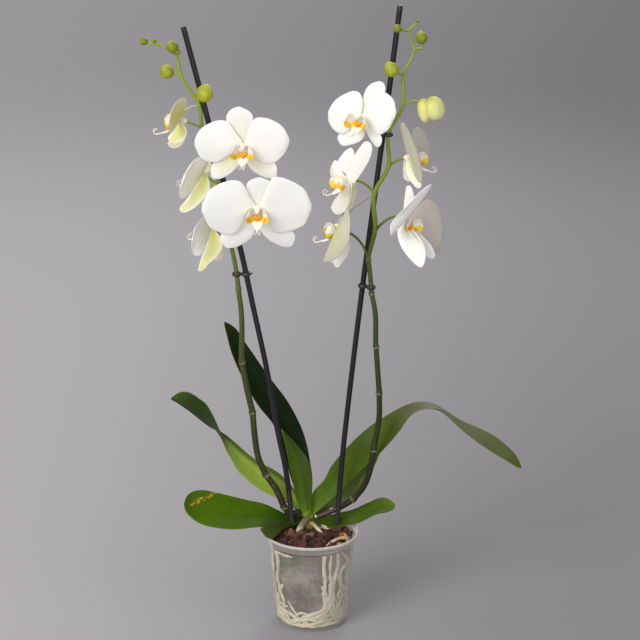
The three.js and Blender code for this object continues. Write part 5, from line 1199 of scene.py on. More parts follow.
# %% [markdown]
# ## The flowers
# A moth orchid flower has three sepals behind, two broad petals before them, a short column in the
# middle and a lip below it. Petals and sepals are waxy white sheets with very fine veins, tinted lime at
# the root and, on the flowers seen from behind, all over the back. Each starts as a grid led between the
# two measured edges of its petal, from the root to the tip. A small flat heart joins them behind the lip.
# %% Flower tables
# Each petal is a list of rows from its root to its tip. A row has the right and up of its first edge, the
# right and up of its second edge, and how far back they lie; a sixth number is there where the second
# edge lies at another depth.
FLOWERS = {
    "a": ((-154.9, 2.0, 651.1), (-82, 20, 0), 82, [
        [(-153.5, 651, -153.2, 650.1, 1, 3.4), (-155.5, 656.5, -154, 651.7, -4, 8),
         (-150.5, 665.3, -149.3, 660.1, -6, 12), (-144.4, 669.2, -144.4, 664.2, -6, 12),
         (-138.6, 670.5, -138.5, 667.2, -3, 8), (-136, 669.7, -135.8, 668.3, 0, 4)],
        [(-155.7, 652.8, -156.9, 650.4, 1.8), (-155.2, 655.1, -157.7, 650.2, 0),
         (-149.7, 666.9, -159.7, 646.3, -8), (-147.1, 678.4, -163.9, 642.2, -18),
         (-150, 684.3, -166.9, 641.8, -26), (-155.5, 681.8, -167.7, 648.6, -32),
         (-160.7, 675.1, -166.6, 658.4, -36), (-163.6, 669.5, -164.9, 664.8, -38)],
        [(-155.8, 652.8, -156.7, 650.4, 1.8), (-156.9, 654, -158.8, 649.1, 6),
         (-153, 661.6, -163.1, 642, 14), (-152.9, 668.3, -168.8, 635.1, 24),
         (-157.7, 669.9, -172.4, 632.9, 32), (-163.7, 665.1, -174, 637.3, 38),
         (-168.4, 657.6, -173.5, 644.6, 42), (-171, 652.3, -172.3, 648.6, 44)],
        [(-154.6, 651.1, -152.2, 650, 2.2), (-156.9, 650.2, -152.8, 648.4, -3),
         (-162.9, 643.3, -148.6, 640.9, -5), (-168.5, 637.2, -149.4, 633.5, -8),
         (-171.5, 631.9, -155.8, 627, -9), (-169.5, 627.9, -166, 626, -10)],
        [(-154.5, 651.3, -152.3, 649.8, 2.2), (-158.8, 646.2, -155.2, 643.8, 5),
         (-166.5, 633.4, -150.8, 632.2, 8), (-172.2, 624.4, -153.2, 623.2, 10),
         (-173.3, 619.3, -161, 616, 11), (-170.1, 616, -166.5, 614.9, 12)],
    ]),
    "b": ((-131.1, 8.0, 582.8), (-112, 22, 0), 90, [
        [(-130.8, 582.8, -128.3, 581.5, 7.4), (-129.7, 588, -124.9, 585.5, 7),
         (-126.1, 594.8, -118.9, 591.1, 10), (-121.3, 601.6, -114.1, 596.6, 13),
         (-116.6, 604, -111.8, 601.6, 16)],
        [(-131.8, 584.7, -133.2, 582.1, 8.6), (-129.1, 587.6, -132.2, 582, 6),
         (-124.6, 596.3, -139.3, 572.2, 0), (-123.5, 603, -148.3, 561.7, -8),
         (-128.1, 609, -154.5, 558.3, -16), (-134.9, 609.9, -157.8, 565.5, -22),
         (-141.9, 604.6, -155.6, 577.1, -27), (-146.6, 596.7, -149.8, 590, -30)],
        [(-132.7, 584.8, -132.2, 582, 8.6), (-127.6, 585.7, -126.5, 579.5, 12),
         (-124.4, 593.5, -119.9, 569.8, 22), (-121.3, 595.9, -118.1, 562, 34),
         (-120.7, 587.5, -118.6, 566.1, 44), (-119.8, 579.1, -119.5, 574, 48)],
        [(-130.8, 582.8, -128.3, 581.5, 7.4), (-130.8, 585.6, -126.6, 583.4, 4),
         (-138.6, 573.1, -121.9, 574.9, -1), (-147.1, 561.4, -122.8, 565.1, -4),
         (-155.1, 551.3, -132, 554.4, -6), (-159.2, 544.4, -144.3, 543.4, -6),
         (-157.7, 539.8, -153.5, 539.1, -6)],
        [(-130.9, 582.6, -128.2, 581.6, 7.4), (-127.6, 581.2, -124, 579.9, 10),
         (-126.7, 568, -117, 566.8, 13), (-130.8, 554.9, -119.8, 552.4, 16),
         (-132.4, 542.6, -128.2, 540.7, 20)],
    ]),
    "c": ((-120.5, 18.0, 512.8), (-112, 14, 0), 82, [
        [(-120.3, 512.4, -117.7, 512.4, 17.4), (-123, 516.1, -118.1, 516.1, 20),
         (-119.4, 524, -113.3, 521.5, 24), (-115.8, 532.1, -108.4, 528.3, 27),
         (-110.9, 538.4, -107.2, 535.8, 30)],
        [(-121.5, 514.4, -122.1, 511.9, 18.5), (-122.8, 515.9, -124.2, 509.5, 16),
         (-124.1, 524.8, -126.9, 501.4, 8), (-127.8, 532.6, -129.7, 492.1, 0),
         (-133.5, 532.2, -133.9, 487.1, -8), (-138.3, 524.6, -139.6, 488, -14),
         (-141.9, 514.3, -143.7, 494.9, -18), (-143.1, 507.3, -143.9, 501.7, -20)],
        [(-122, 514.5, -121.6, 511.9, 18.5), (-120.7, 515.6, -119.6, 508, 22),
         (-118.7, 521.6, -115.5, 491, 34), (-118.1, 523.7, -113.7, 482.7, 46),
         (-117.3, 516.7, -114, 488.4, 54), (-116.8, 504.2, -116.2, 499, 58)],
        [(-120.3, 512.5, -117.7, 512.3, 17.4), (-122.8, 512.6, -117.9, 512.2, 14),
         (-126.4, 500.9, -111.3, 505.4, 10), (-131.1, 488.8, -108, 495.7, 8),
         (-135.6, 476.3, -114.9, 481, 7), (-138.4, 467.1, -127.3, 470.3, 6),
         (-138.4, 462.2, -135.7, 462, 6)],
        [(-120.3, 512.5, -117.7, 512.3, 17.4), (-118.3, 509.3, -113.4, 508.9, 22),
         (-117.5, 495.6, -107.2, 496.8, 26), (-120.2, 481.3, -108.1, 483.8, 27),
         (-119.2, 470.1, -115.5, 468.8, 28)],
    ]),
    "d": ((-80.3, -24.0, 624.6), (-3, -12, 0), 112, [
        [(-82, 625, -78.4, 625.1, -21.7, -21.9), (-83.3, 627.3, -77.3, 627.4, -22.1, -22.5),
         (-93.2, 641.1, -72.3, 641.3, -24.5, -25.7), (-100, 654.9, -68.5, 656.5, -27.1, -29.1),
         (-98.2, 666.2, -70.7, 667.1, -29.6, -31.3), (-93.1, 671.6, -77.7, 671.7, -31, -31.9),
         (-88.3, 673.5, -82.4, 673.6, -31.7, -32)],
        [(-80.7, 625.9, -80.1, 622.5, -26.3, -25.6), (-77.1, 632.7, -76, 627, -28, -26.8),
         (-74.7, 646, -71.4, 617.6, -30.9, -25), (-68.3, 659.2, -63.1, 608.1, -34.1, -23.5),
         (-55.8, 661.7, -53.6, 603.4, -35.2, -22.9), (-43.4, 657.9, -42.2, 605.4, -35.1, -24),
         (-33.7, 650.2, -33.8, 614.8, -34, -26.4), (-27.8, 640.2, -28.3, 624.4, -32.1, -28.7),
         (-26.2, 634.6, -26.2, 630.8, -31, -30.2)],
        [(-80, 625.9, -80.8, 622.5, -26.4, -25.6), (-81.8, 632.7, -83.1, 627, -27.7, -26.4),
         (-90.5, 644.6, -90.4, 620.5, -29.8, -24.7), (-96.3, 654.8, -100.2, 612.1, -31.7, -22.4),
         (-108.7, 657.9, -111.8, 604.7, -31.7, -20.2), (-120.6, 653.9, -122.8, 604.9, -30.2, -19.6),
         (-130, 646.6, -131.4, 611.1, -28.2, -20.5), (-135.9, 637.8, -136.2, 620.6, -26, -22.3),
         (-137.8, 631.4, -137.9, 627.6, -24.5, -23.7)],
        [(-79.2, 626.5, -81.2, 623.6, -22.2, -21.5), (-73.8, 621, -78.2, 614.6, -21.3, -19.7),
         (-64.3, 616.1, -76, 601.2, -20.7, -17), (-53.1, 609.8, -70.1, 593.6, -20, -15.6),
         (-43.2, 603.8, -60.6, 587.1, -19.2, -14.8), (-40.4, 595.2, -49.8, 583.7, -17.5, -14.6),
         (-41.6, 586.2, -44, 584.2, -15.6, -15)],
        [(-81.2, 626.5, -79.2, 623.6, -22.1, -21.5), (-87, 620.9, -82.9, 614.6, -20.6, -19.4),
         (-97.9, 616.3, -85.9, 604.3, -19, -17.1), (-109.5, 609.2, -89.9, 596.2, -16.9, -15.2),
         (-118.3, 601.6, -97.9, 588.5, -14.8, -13.1), (-120.6, 593, -108.3, 582.7, -12.9, -11.3),
         (-119.2, 584, -115, 582.1, -11, -10.8)],
    ]),
    "e": ((-64.1, -28.0, 549.7), (0, -22, 0), 124, [
        [(-66.1, 550.6, -62.1, 550.6, -25.7), (-67.2, 551, -61.2, 551, -25.9),
         (-72.3, 564.6, -54.3, 564.6, -31.3), (-77, 576.1, -48.1, 576.8, -36, -36.3),
         (-74.8, 584.8, -48.6, 585.5, -39.5, -39.8), (-69.3, 588.8, -53.9, 589.1, -41.1, -41.2),
         (-63.9, 590.4, -58.6, 590.4, -41.8)],
        [(-64.4, 550.7, -63.8, 547, -30.8, -29.3), (-59.1, 558.5, -57.5, 548.9, -33.9, -30.1),
         (-54.6, 572.7, -52.2, 538.7, -39.7, -25.9), (-49, 588.1, -49.5, 523.5, -45.9, -19.8),
         (-38.2, 593, -38.1, 516.6, -47.9, -17), (-25.8, 589.4, -25.3, 519.3, -46.5, -18.1),
         (-13.4, 580, -13.2, 526.3, -42.7, -20.9), (-4.5, 567.3, -4.7, 536.6, -37.5, -25.1),
         (-0.6, 555.7, -0.7, 548.9, -32.8, -30.1)],
        [(-63.8, 550.7, -64.4, 547, -30.8, -29.3), (-68.7, 558.5, -70.1, 548.9, -33.9, -30.1),
         (-74.6, 570, -76.9, 540.7, -38.6, -26.8), (-78.8, 582.7, -83.2, 528.3, -43.8, -21.8),
         (-88.8, 588.5, -92, 516, -46.1, -16.8), (-101.3, 586.6, -104.2, 515.2, -45.3, -16.5),
         (-114.3, 578.7, -115.7, 521.2, -42.1, -18.9), (-124.3, 566.6, -125.1, 533.2, -37.2, -23.7),
         (-129.3, 553.7, -129.6, 546.9, -32, -29.3)],
        [(-63, 552.2, -65.2, 549.1, -26.3, -25.1), (-58.3, 542.8, -63.3, 535.9, -22.5, -19.8),
         (-47, 531.8, -61.2, 520, -18.1, -13.3), (-33.9, 522.8, -55.3, 510, -14.5, -9.3),
         (-21.8, 516.1, -45.1, 500.9, -11.8, -5.6), (-19.4, 506.1, -32.4, 495.3, -7.7, -3.3),
         (-22.6, 497.7, -26.3, 495.8, -4.3, -3.6)],
        [(-65.1, 552.2, -63.1, 549, -26.3, -25.1), (-72.8, 542.8, -68.4, 535.9, -22.5, -19.8),
         (-85.8, 531.1, -68.7, 520, -17.8, -13.3), (-99.4, 521.4, -71.7, 509.1, -13.9, -8.9),
         (-109.3, 513.1, -81.1, 500.7, -10.5, -5.5), (-109.7, 503.3, -92.9, 494.6, -6.6, -3),
         (-105, 495.5, -100.2, 494.1, -3.4, -2.9)],
    ]),
    "f": ((59.8, -20.0, 660.1), (-24, -6, 0), 92, [
        [(59.2, 660.2, 61.9, 660.4, -17.7, -18.9), (60.4, 664.1, 66.9, 664.7, -18.7, -21.6),
         (61.5, 675.3, 73.8, 673.8, -20.5, -25.8), (62.8, 686.4, 81.9, 684.3, -22.3, -30.6),
         (66, 694.9, 87.6, 692.1, -24.7, -34), (71.2, 700.7, 87.9, 698.1, -27.7, -34.9),
         (79.3, 704.4, 85.2, 703.4, -31.8, -34.2)],
        [(58.6, 661.3, 59.6, 658.5, -21.4, -21.6), (62.1, 664.4, 64.5, 657.8, -23.3, -23.6),
         (67.2, 677.7, 68.1, 651.4, -27.2, -24.5), (75.9, 688.4, 73.4, 644.4, -32.2, -26.1),
         (85.7, 692.8, 80.5, 639.5, -37.1, -28.7), (93.9, 686.8, 88.1, 644.5, -40.1, -32.6),
         (98.5, 677.9, 94.4, 653.1, -41.1, -36.4), (100.1, 668.9, 99.1, 663.9, -40.8, -39.8)],
        [(59.6, 661.3, 58.6, 658.6, -21.9, -21.1), (60.9, 664.9, 58, 657.3, -22.9, -20.7),
         (62.2, 676, 49.2, 646.2, -24.7, -15.5), (60.5, 686.3, 41.5, 638.1, -25.1, -11.2),
         (52.5, 691.7, 34.1, 637.2, -22.2, -7.8), (41.9, 687.5, 27, 641.9, -17, -5.1),
         (31.5, 679.6, 22.8, 649.8, -11.5, -4.1), (24.5, 670.4, 21.3, 656.5, -7.3, -4.3),
         (22, 664.6, 21.4, 660.9, -5.5, -4.8)],
        [(61.6, 661.1, 59.5, 659.5, -18.9, -17.8), (65.2, 657.1, 59.9, 653, -20, -17.2),
         (75.9, 648.2, 65.9, 642.4, -23.8, -18.6), (83, 639.6, 70.1, 634.1, -25.9, -19.6),
         (84.9, 632.3, 74.9, 627, -25.9, -20.9), (82.6, 625.3, 79.7, 623.4, -24.1, -22.6)],
        [(59.2, 660.6, 61.9, 660, -17.8, -18.9), (51, 651.6, 58.7, 649.8, -13.1, -16.3),
         (41, 643.2, 64.7, 641.6, -7.6, -18), (33.8, 635.7, 62.8, 632.8, -3.6, -16.2),
         (32.3, 628.1, 51.8, 624.9, -2, -10.4), (36.3, 622.4, 42.3, 622, -3.2, -5.8)],
    ]),
    "g": ((118.4, 0.0, 606.2), (68, 14, 0), 88, [
        [(116.4, 606, 117.2, 605.5, -0.7, 2), (116.4, 612.3, 120, 609.8, -3, 9),
         (112, 625, 115.2, 622.6, -5, 13), (108.2, 639, 112, 636.1, -5, 13),
         (105.7, 649, 107.4, 648.3, 0, 7)],
        [(119.4, 607.9, 120.3, 605.2, -0.6), (117.1, 610.9, 119.6, 603.5, -2),
         (111.6, 629.3, 122.9, 591.4, -14), (106.4, 649.8, 128.4, 581.8, -26),
         (108.7, 653.8, 131.2, 584.8, -34), (115.1, 646, 130.7, 601.9, -40),
         (121.6, 630.6, 125.3, 621.5, -44)],
        [(119.6, 608, 120.1, 605.2, -0.6), (121, 609.7, 122.3, 602.3, 4), (122.5, 624.4, 132.8, 587.3, 16),
         (123.7, 634.1, 138.2, 585.1, 26), (130.9, 635.3, 143.4, 589.6, 34), (139.9, 624.5, 146, 599.6, 40),
         (144.7, 612.9, 145.7, 607.9, 42)],
        [(115.4, 606.1, 118.2, 605.5, 0.6), (115.3, 605, 120.8, 603.8, -3),
         (114.1, 594.6, 125.6, 594.6, -6), (117.5, 583.9, 130.8, 583.9, -8),
         (123.6, 575.1, 133.2, 576.3, -10), (128.7, 570.5, 132.1, 570.8, -10)],
        [(115.6, 606.4, 118.1, 605.1, 0.6), (113.8, 604.9, 118.6, 602.5, 3), (111.8, 595.7, 119.5, 592, 6),
         (112, 585.3, 121.5, 581.6, 8), (116.2, 575.2, 119.9, 574.4, 10)],
    ]),
    "h": ((114.5, 0.0, 529.9), (42, -14, -10), 92, [
        [(111.9, 530.7, 114.7, 530, 1.3), (112.2, 531.9, 117.1, 530.6, 2), (112.7, 544.9, 122.9, 542.4, 0),
         (113.9, 559, 126.3, 555.3, -2), (114.9, 567.6, 123.3, 565.7, -4), (117, 572.4, 119.9, 572.4, -5)],
        [(116.5, 530.6, 114.6, 528.4, -1.2), (114.3, 533.3, 111.3, 529.6, -4),
         (124.6, 547.6, 104.9, 527, -14), (137.2, 565.4, 98.6, 519.6, -24),
         (145.9, 580.9, 96.5, 515.7, -32), (135.1, 576.8, 96.6, 526.8, -38),
         (121.9, 565.5, 101.7, 543.8, -42), (113.6, 556.5, 110.1, 552.3, -44)],
        [(115.4, 531, 115.8, 528, -1.2), (118.4, 530.1, 119.7, 520.1, 4), (129.6, 542, 130.1, 499.2, 12),
         (140.8, 549.8, 139.4, 483.6, 20), (151, 545.9, 149.1, 476.2, 26), (158.4, 532.7, 157.3, 481, 30),
         (162.2, 517, 162.2, 491.5, 32), (163.3, 506.5, 163.3, 501.4, 33)],
        [(112, 530.9, 114.6, 529.7, 1.3), (107.7, 527.1, 121.8, 520.8, -4),
         (105.2, 514.3, 132.5, 509.3, -8), (108.7, 500, 139.2, 497.1, -11),
         (116.2, 487.7, 140.4, 486.1, -12), (124.4, 478.5, 138.7, 478.5, -12),
         (131.2, 472.9, 135.3, 472.3, -12)],
        [(111.8, 530.3, 114.8, 530.3, 1.3), (119.8, 519.6, 124.7, 519.6, 6),
         (126.3, 504.7, 139.8, 503.5, 10), (134, 488.7, 151.3, 487.5, 13), (146, 476.7, 149.7, 475.8, 14)],
    ]),
    "i": ((46.6, -10.0, 580.7), (-62, 6, 0), 88, [
        [(46.7, 580.6, 49.5, 580.4, -9.2), (39.9, 590.1, 47.2, 589.5, -8), (30.9, 598.5, 49.6, 599.7, -7),
         (35.9, 608.7, 52.3, 609.3, -6), (41.7, 615.3, 51.6, 615, -4), (46.5, 618.7, 49.2, 618.7, -4)],
        [(44.7, 582.2, 45.7, 579.6, -10.7), (42.9, 583.6, 47.8, 571.2, -12),
         (45.2, 597.6, 53.6, 581.1, -20), (50, 611.5, 62.8, 595.7, -28), (57, 623.3, 69.3, 610.6, -35),
         (63.5, 631.2, 71.5, 622.9, -39), (67.8, 633.6, 70.8, 631.8, -41)],
        [(45.5, 582.2, 44.9, 579.5, -10.7), (41.2, 583.8, 40, 577.6, -2), (35.3, 591.1, 32.9, 568.7, 10),
         (29.3, 595.7, 28.1, 571.5, 20), (24.8, 586.4, 25.1, 578.9, 26)],
        [(47.8, 580.8, 48.5, 580.2, -10.5, -7.8), (48.8, 580.6, 53.3, 576.5, -26, -8),
         (48.2, 568.7, 54.5, 565.4, -28, -8), (46.5, 556.7, 51.5, 552.2, -24, -10),
         (44.6, 546.6, 46.3, 545.2, -16, -12)],
        [(46.8, 580.7, 49.5, 580.3, -9.2), (39.4, 569.9, 47.3, 568.6, -6), (32.5, 559.5, 47, 555.8, -4),
         (25.8, 548.6, 44.7, 545.5, 0), (24.8, 540.4, 39.9, 537, 3), (29.3, 535.3, 34.2, 534.8, 4)],
    ]),
    "j": ((37.2, -4.0, 518.3), (-84, 24, 0), 90, [
        [(38.4, 518.2, 39.3, 517, -5, -2.6), (37.7, 525.8, 41.5, 520.8, -9, 1),
         (43.7, 540.6, 47, 535.4, -11, 3), (54.6, 551.2, 56.7, 545.4, -11, 3),
         (64.3, 556.7, 65.7, 553, -8, 0), (70.4, 559.2, 71.4, 558.3, -4, -2)],
        [(36.2, 520.3, 35.3, 517.6, -4.2), (36.5, 522.6, 34.1, 515.1, -6), (40.9, 538.7, 25.9, 499.4, -16),
         (44.2, 550.3, 15.8, 484.4, -28), (45.8, 547.3, 14.6, 484.4, -36), (46.7, 534, 26.6, 490, -42),
         (46.1, 519.9, 39.2, 501.3, -45), (45.5, 514.6, 43.7, 510.3, -46)],
        [(36, 520.4, 35.5, 517.5, -4.2), (35.4, 519.3, 34.2, 513, 2), (38, 529, 27, 492.3, 14),
         (39.3, 533.6, 19.7, 476.4, 26), (40.7, 522.4, 24.7, 477.6, 36), (39.9, 503.5, 39.2, 494.6, 40)],
        [(37.4, 517.6, 40.3, 517.6, -3.8), (39.1, 509, 45.2, 509, -2), (36.7, 496.7, 47.3, 496.7, -3),
         (31.8, 484.3, 44.9, 484.3, -4), (27.6, 475.7, 36.9, 474.5, -5), (29.7, 470.3, 32.7, 469.8, -5)],
        [(37.4, 517.9, 40.2, 517.2, -3.8), (36.7, 510, 41.6, 508.8, 4), (30.6, 495.1, 41.7, 492.6, 8),
         (25.8, 481.9, 36.8, 479.4, 10), (25.4, 472.2, 28.9, 471.2, 10)],
    ]),
}
# How lime each petal is, in the order of the table, and how far along it the lime reaches.
LIME = {"a": ((1.0, 1.0, 1.0, 1.0, 0.5), 3.0), "b": ((0.7, 0.3, 0.1, 1.0, 0.5), 2.2),
        "c": ((0.7, 0.2, 0.1, 1.0, 0.6), 2.2), "d": ((0.25, 0, 0, 0.5, 0.9), 0.8),
        "e": ((0.1, 0, 0, 0.45, 0.45), 0.5), "f": ((0.15, 0, 0, 0.2, 0.3), 0.6),
        "g": ((0.5, 0.35, 0, 0.7, 0.3), 1.4), "h": ((0.1, 0.08, 0, 0.15, 0.1), 0.8),
        "i": ((0.2, 0.1, 0.1, 0.9, 0.2), 1.4), "j": ((0.4, 0.4, 0.3, 0.2, 0.2), 1.6)}
# How much shade the petals that turn from the window keep.
DUSK = {"a": (0, 0.3, 0.3, 0.1, 0.3), "c": (0, 0, 0, 0.3, 0.3), "d": (0.12,) * 5, "f": (0.1,) * 5,
        "g": (0.8, 0.9, 0.85, 0.05, 0.2), "h": (0, 0.1, 0.85, 0, 0), "j": (0.6, 1.0, 0.9, 0.3, 0.3)}
print("flowers:", len(FLOWERS))

# %% Flower finishes
def petal_finish(name, back):
    """Waxy white with fine branching veins; mark lime tints it."""
    made_of = Finish(name, Roughness=0.48, Sheen_Weight=0.12, Subsurface_Weight=0.22,
                     Subsurface_Scale=0.003)
    across, along = made_of.across_along()
    lime = made_of.mark("lime")
    cloud = made_of.noise(45, 3)
    fan = ((across - 0.5) * 95 / (along * 0.9 + 0.25) + cloud * 2.5).sine() * 0.5 + 0.5
    veins = fan ** 3
    root = (1 - along.over(0.02, 0.34)) * 0.5
    rib = 1 - abs(across - 0.5).over(0.0, 0.12)
    flood = lime * ((1 - abs(across - 0.5).over(0.2, 0.52)) * 0.65 + 0.3)
    made_of.paint(
        (248, 246, 243), (cloud, (243, 241, 239)), (veins * (0.10 if back else 0.05), (206, 212, 186)),
        (made_of.mark("dusk"), (180, 180, 172), "MULTIPLY"),
        (root * (0.8 if back else 0.45), (222, 228, 178)), (flood, (204, 206, 92)),
        (rib * lime * (0.35 if back else 0.1), (164, 178, 62)), roughness=0.42 + cloud * 0.12)
    made_of.bump(veins * 0.2 + cloud * 0.4, 0.0008, 0.16)
    return made_of


petal_face = petal_finish("petal_face", False)
petal_back = petal_finish("petal_back", True)
column_white = Finish("column_white", Roughness=0.4, Coat_Weight=0.15, Subsurface_Weight=0.2,
                      Subsurface_Scale=0.003)
cap = column_white.noise(300, 3)
column_white.paint((246, 240, 222), (cap.over(0.4, 0.7), (238, 220, 200)))
column_white.bump(cap, 0.0004, 0.3)
print("petal finishes ready")

# %% Lip finishes
def lip_finish(name, stripes):
    """White flesh that turns yellow by mark gold, with dark red stripes by mark stripe."""
    made_of = Finish(name, Roughness=0.42, Coat_Weight=0.1, Subsurface_Weight=0.18, Subsurface_Scale=0.003)
    across, _ = made_of.across_along()
    gold, stripe = made_of.mark("gold"), made_of.mark("stripe")
    soft = made_of.noise(160, 4)
    bars = ((across * stripes + soft * 1.2).sine() * 0.5 + 0.5).over(0.4, 0.7)
    yellow = (gold + soft * 0.3 - 0.15).over(0.3, 0.62)
    made_of.paint(
        (247, 244, 232), (soft, (238, 232, 214)), (yellow, (242, 206, 22)),
        (stripe.over(0.1, 0.8) * 0.12, (244, 190, 90)),
        ((bars * stripe).over(0.1, 0.45) * 0.85, (168, 34, 26)))
    made_of.bump(soft, 0.0006, 0.3)
    return made_of


side_lobe = lip_finish("lip_side_lobe", 34)
mid_lobe = lip_finish("lip_middle", 30)
callus = Finish("lip_callus", Roughness=0.35, Coat_Weight=0.3)
dots = callus.cells(520)
callus.paint((244, 176, 16), (callus.noise(200, 3).over(0.4, 0.65), (236, 120, 12)),
             ((1 - dots.over(0.2, 0.4)) * 0.7, (176, 50, 18)))
callus.bump(dots, 0.0006, 0.4)
print("lip finishes ready")

# %% Petals, sepals and column
def flower_frame(at, turn):
    """The flower's own axes: right, up and straight out of its face."""
    az, el, roll = map(math.radians, turn)
    out = Vector((math.sin(az) * math.cos(el), -math.cos(az) * math.cos(el), math.sin(el)))
    right = Vector((math.cos(az), math.sin(az), 0))
    axes = Matrix((right, out.cross(right), out)).transposed().to_4x4() @ Matrix.Rotation(roll, 4, "Z")
    axes.translation = Vector(at)
    return axes


def petal_sheet(table, out, bow, seed, lime, dusk, columns=14, rows=24):
    """A petal between its two edges, from root to tip, bowed towards out in the middle."""
    edges = [np.array([(x0, deep, z0), (x1, (other or [deep])[0], z1)], float)
             for x0, z0, x1, z1, deep, *other in table]
    for row, grow in ((-3, 1.06), (-2, 1.28), (-1, 2.0)) if bow > 2 else ():
        edges[row] = edges[row].mean(0) + (edges[row] - edges[row].mean(0)) * grow
    tip, before = np.mean(edges[-1], axis=0), np.mean(edges[-2], axis=0)
    way = (tip - before) / np.linalg.norm(tip - before)
    last = np.array(edges[-1], float)
    end = tip + way * 0.1 * np.linalg.norm(last[1] - last[0])
    stops = [[*np.mean(pair, axis=0), *pair[0], *pair[1]] for pair in edges]
    stops.append([*end, *(end + 0.58 * (last[0] - tip)), *(end + 0.58 * (last[1] - tip))])
    fine = smooth(stops, 121)
    for _ in range(24):
        fine[1:-1] = (fine[:-2] + 2 * fine[1:-1] + fine[2:]) / 4
    line = [fine[round(120 * (1 - (1 - k / rows) ** 1.35))] for k in range(rows + 1)]
    sway = random.Random(seed)
    phase, curl, out = sway.uniform(0, 6.28), sway.uniform(0.3, 0.7), np.array(out)

    def place(across, row):
        t = row / rows
        first, second = line[row][3:6], line[row][6:9]
        full = min(1.0, np.linalg.norm(second - first) / 30)
        frill = curl * math.sin(phase + 7 * t + 2.5 * across) * abs(across) ** 3 * full
        crease = -0.5 * math.exp(-(across / 0.16) ** 2) * (1 - t) * full
        return (first + (second - first) * (across + 1) / 2
                + out * (bow * full * (1 - across * across) + frill + crease))

    return sheet("petal", columns, rows, place, 0.7, {
        "lime": lambda a, t: lime[0] * max(0.0, 1 - t / lime[1]),
        "dusk": lambda a, t: dusk * (0.7 + 0.5 * t)}, upward=out)


for letter, (at, turn, size, petals) in FLOWERS.items():
    axes, s = flower_frame(at, turn), size / 100
    out = axes.to_3x3() @ Vector((0, 0, 1))
    parts = []
    for i, table in enumerate(petals):
        broad = i in (1, 2)
        shares, reach = LIME[letter]
        part = petal_sheet(table, out, 2.5 if broad else 1.2, i + 7 * ord(letter), (shares[i], reach),
                           DUSK.get(letter, (0,) * 5)[i])
        petal_face.wear(part)
        petal_back.wear(part)
        parts.append(part)
    column = tube("column", [[*(axes @ (Vector((0, y, z)) * s)), r * s] for y, z, r in (
        (0.5, -4, 4.0), (1.4, 2, 3.2), (2.0, 5.5, 2.7), (2.3, 8, 2.5), (2.1, 9.4, 1.8))], 18, step=0.8)
    column_white.wear(column)
    parts.append(column)
    heart = started(bpy.ops.mesh.primitive_uv_sphere_add, segments=32, ring_count=16, radius=1)
    squash = Matrix.Translation((0, -2.5 * s, -1.2 * s)) @ Matrix.Diagonal((7.4 * s, 7.6 * s, 2.0 * s, 1))
    heart.data.transform(Matrix.Scale(MM, 4) @ axes @ squash)
    marked(heart, "lime", [0.4] * len(heart.data.vertices))
    bpy.ops.object.shade_smooth()
    petal_face.wear(heart)
    parts.append(heart)
    bloom = joined("bloom_" + letter + "_petals", parts)
    settle(bloom, "petal", "bloom_" + letter)
print("blooms:", len(FLOWERS))

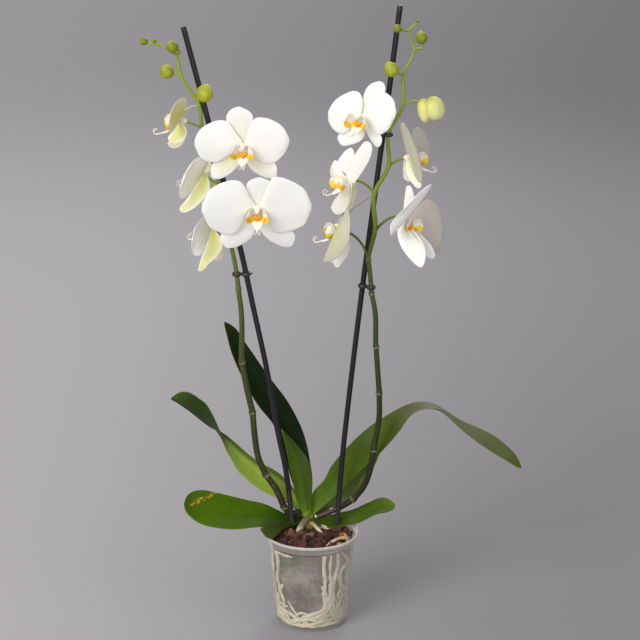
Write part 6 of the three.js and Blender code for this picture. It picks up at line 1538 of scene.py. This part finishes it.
# %% [markdown]
# ## The lips
# The lip is the flower's landing stage: two white side lobes rise like cupped hands beside the column,
# yellow at their lower edge with red stripes inside; a knobbly orange callus sits between them; and the
# pointed middle lobe runs forward, ending in two thin curled tendrils.
# %% Lips
def lip_parts(s):
    """The lip in the flower's own axes, in millimetres."""
    def side(sign):
        route = smooth([[3.0, -7.6, 9.0, 3.6], [7.4, -7.8, 11.0, 6.0], [10.2, -3.4, 12.4, 7.2],
                        [9.8, 2.4, 13.4, 6.0], [8.4, 6.0, 14.0, 2.2]], 15)

        def place(across, row):
            x, y, z, half = route[row]
            cup = 1.4 * across * across
            return Vector((sign * (x + 0.5 * half * across - cup), y - 0.25 * half * across,
                           z + 0.8 * half * across)) * s
        return sheet("side", 12, 14, place, 0.6, {
            "gold": lambda a, t: max(0.0, (0.55 + 0.7 * a) * (1 - ((t - 0.36) / 0.42) ** 2)),
            "stripe": lambda a, t: max(0.0, 1.0 - 1.7 * t) * (1 - 0.8 * max(0.0, a - 0.2))})

    middle_line = smooth([[-6.0, 8.0, 6.4], [-7.8, 10.6, 7.4], [-9.6, 14.0, 5.8], [-11.2, 17.6, 4.4],
                          [-12.4, 20.8, 2.6], [-12.8, 23.0, 0.9]], 17)

    def place(across, row):
        y, z, half = middle_line[row]
        cup = 2.6 * across * across * max(0.0, 1 - row / 8) - 0.8 * across * across
        return Vector((half * across, y + cup, z)) * s

    middle = sheet("middle", 12, 16, place, 0.7, {
        "gold": lambda a, t: max(0.0, 1.0 - 2.2 * t) + 1.6 * max(0.0, abs(a) - 0.4) * max(0.0, 1 - 1.8 * t),
        "stripe": lambda a, t: max(0.0, 1.0 - 2.4 * t) * max(0.0, 1 - 1.2 * abs(a))})
    tendrils = [tube("tendril", [[sign * x * s, y * s, z * s, r * s] for x, y, z, r in (
        (0.5, -12.9, 22.6, 0.55), (1.2, -14.4, 27, 0.46), (2.4, -13.8, 30.4, 0.4), (3.4, -10.8, 31.2, 0.36),
        (3.2, -8.4, 29, 0.32), (2.4, -9.2, 27.2, 0.28))], 8, step=0.8) for sign in (-1, 1)]
    knobs = []
    for x, y, z, r in ((-1.9, -4.4, 10.8, 2.3), (1.9, -4.4, 10.8, 2.3), (0, -6.2, 10.8, 2.6),
                       (-2.7, -2.8, 11.2, 1.4), (2.7, -2.8, 11.2, 1.4), (0, -7.2, 12.2, 1.6)):
        knobs.append(started(bpy.ops.mesh.primitive_ico_sphere_add, subdivisions=3, radius=r * s * MM,
                             location=[v * s * MM for v in (x, y, z)]))
        bpy.ops.object.transform_apply()
        bpy.ops.object.shade_smooth()
    return [side(1), side(-1)], middle, tendrils, knobs


LIP_SIZE = 1.1
for letter, (at, turn, _, _) in FLOWERS.items():
    level = Matrix.Rotation(math.radians(max(0, turn[1])), 4, "X")
    axes = flower_frame(at, turn) @ level
    axes.translation = Vector(at)
    sides, middle, tendrils, knobs = lip_parts(LIP_SIZE)
    side_lobe.wear(*sides)
    mid_lobe.wear(middle)
    column_white.wear(*tendrils)
    callus.wear(*knobs)
    lip = joined("lip_" + letter + "_lobes", [*sides, middle, *tendrils, *knobs])
    lip.data.transform(Matrix.Scale(MM, 4) @ axes @ Matrix.Scale(1 / MM, 4))
    settle(lip, "lip", "lip_" + letter)
print("lips:", len(FLOWERS))
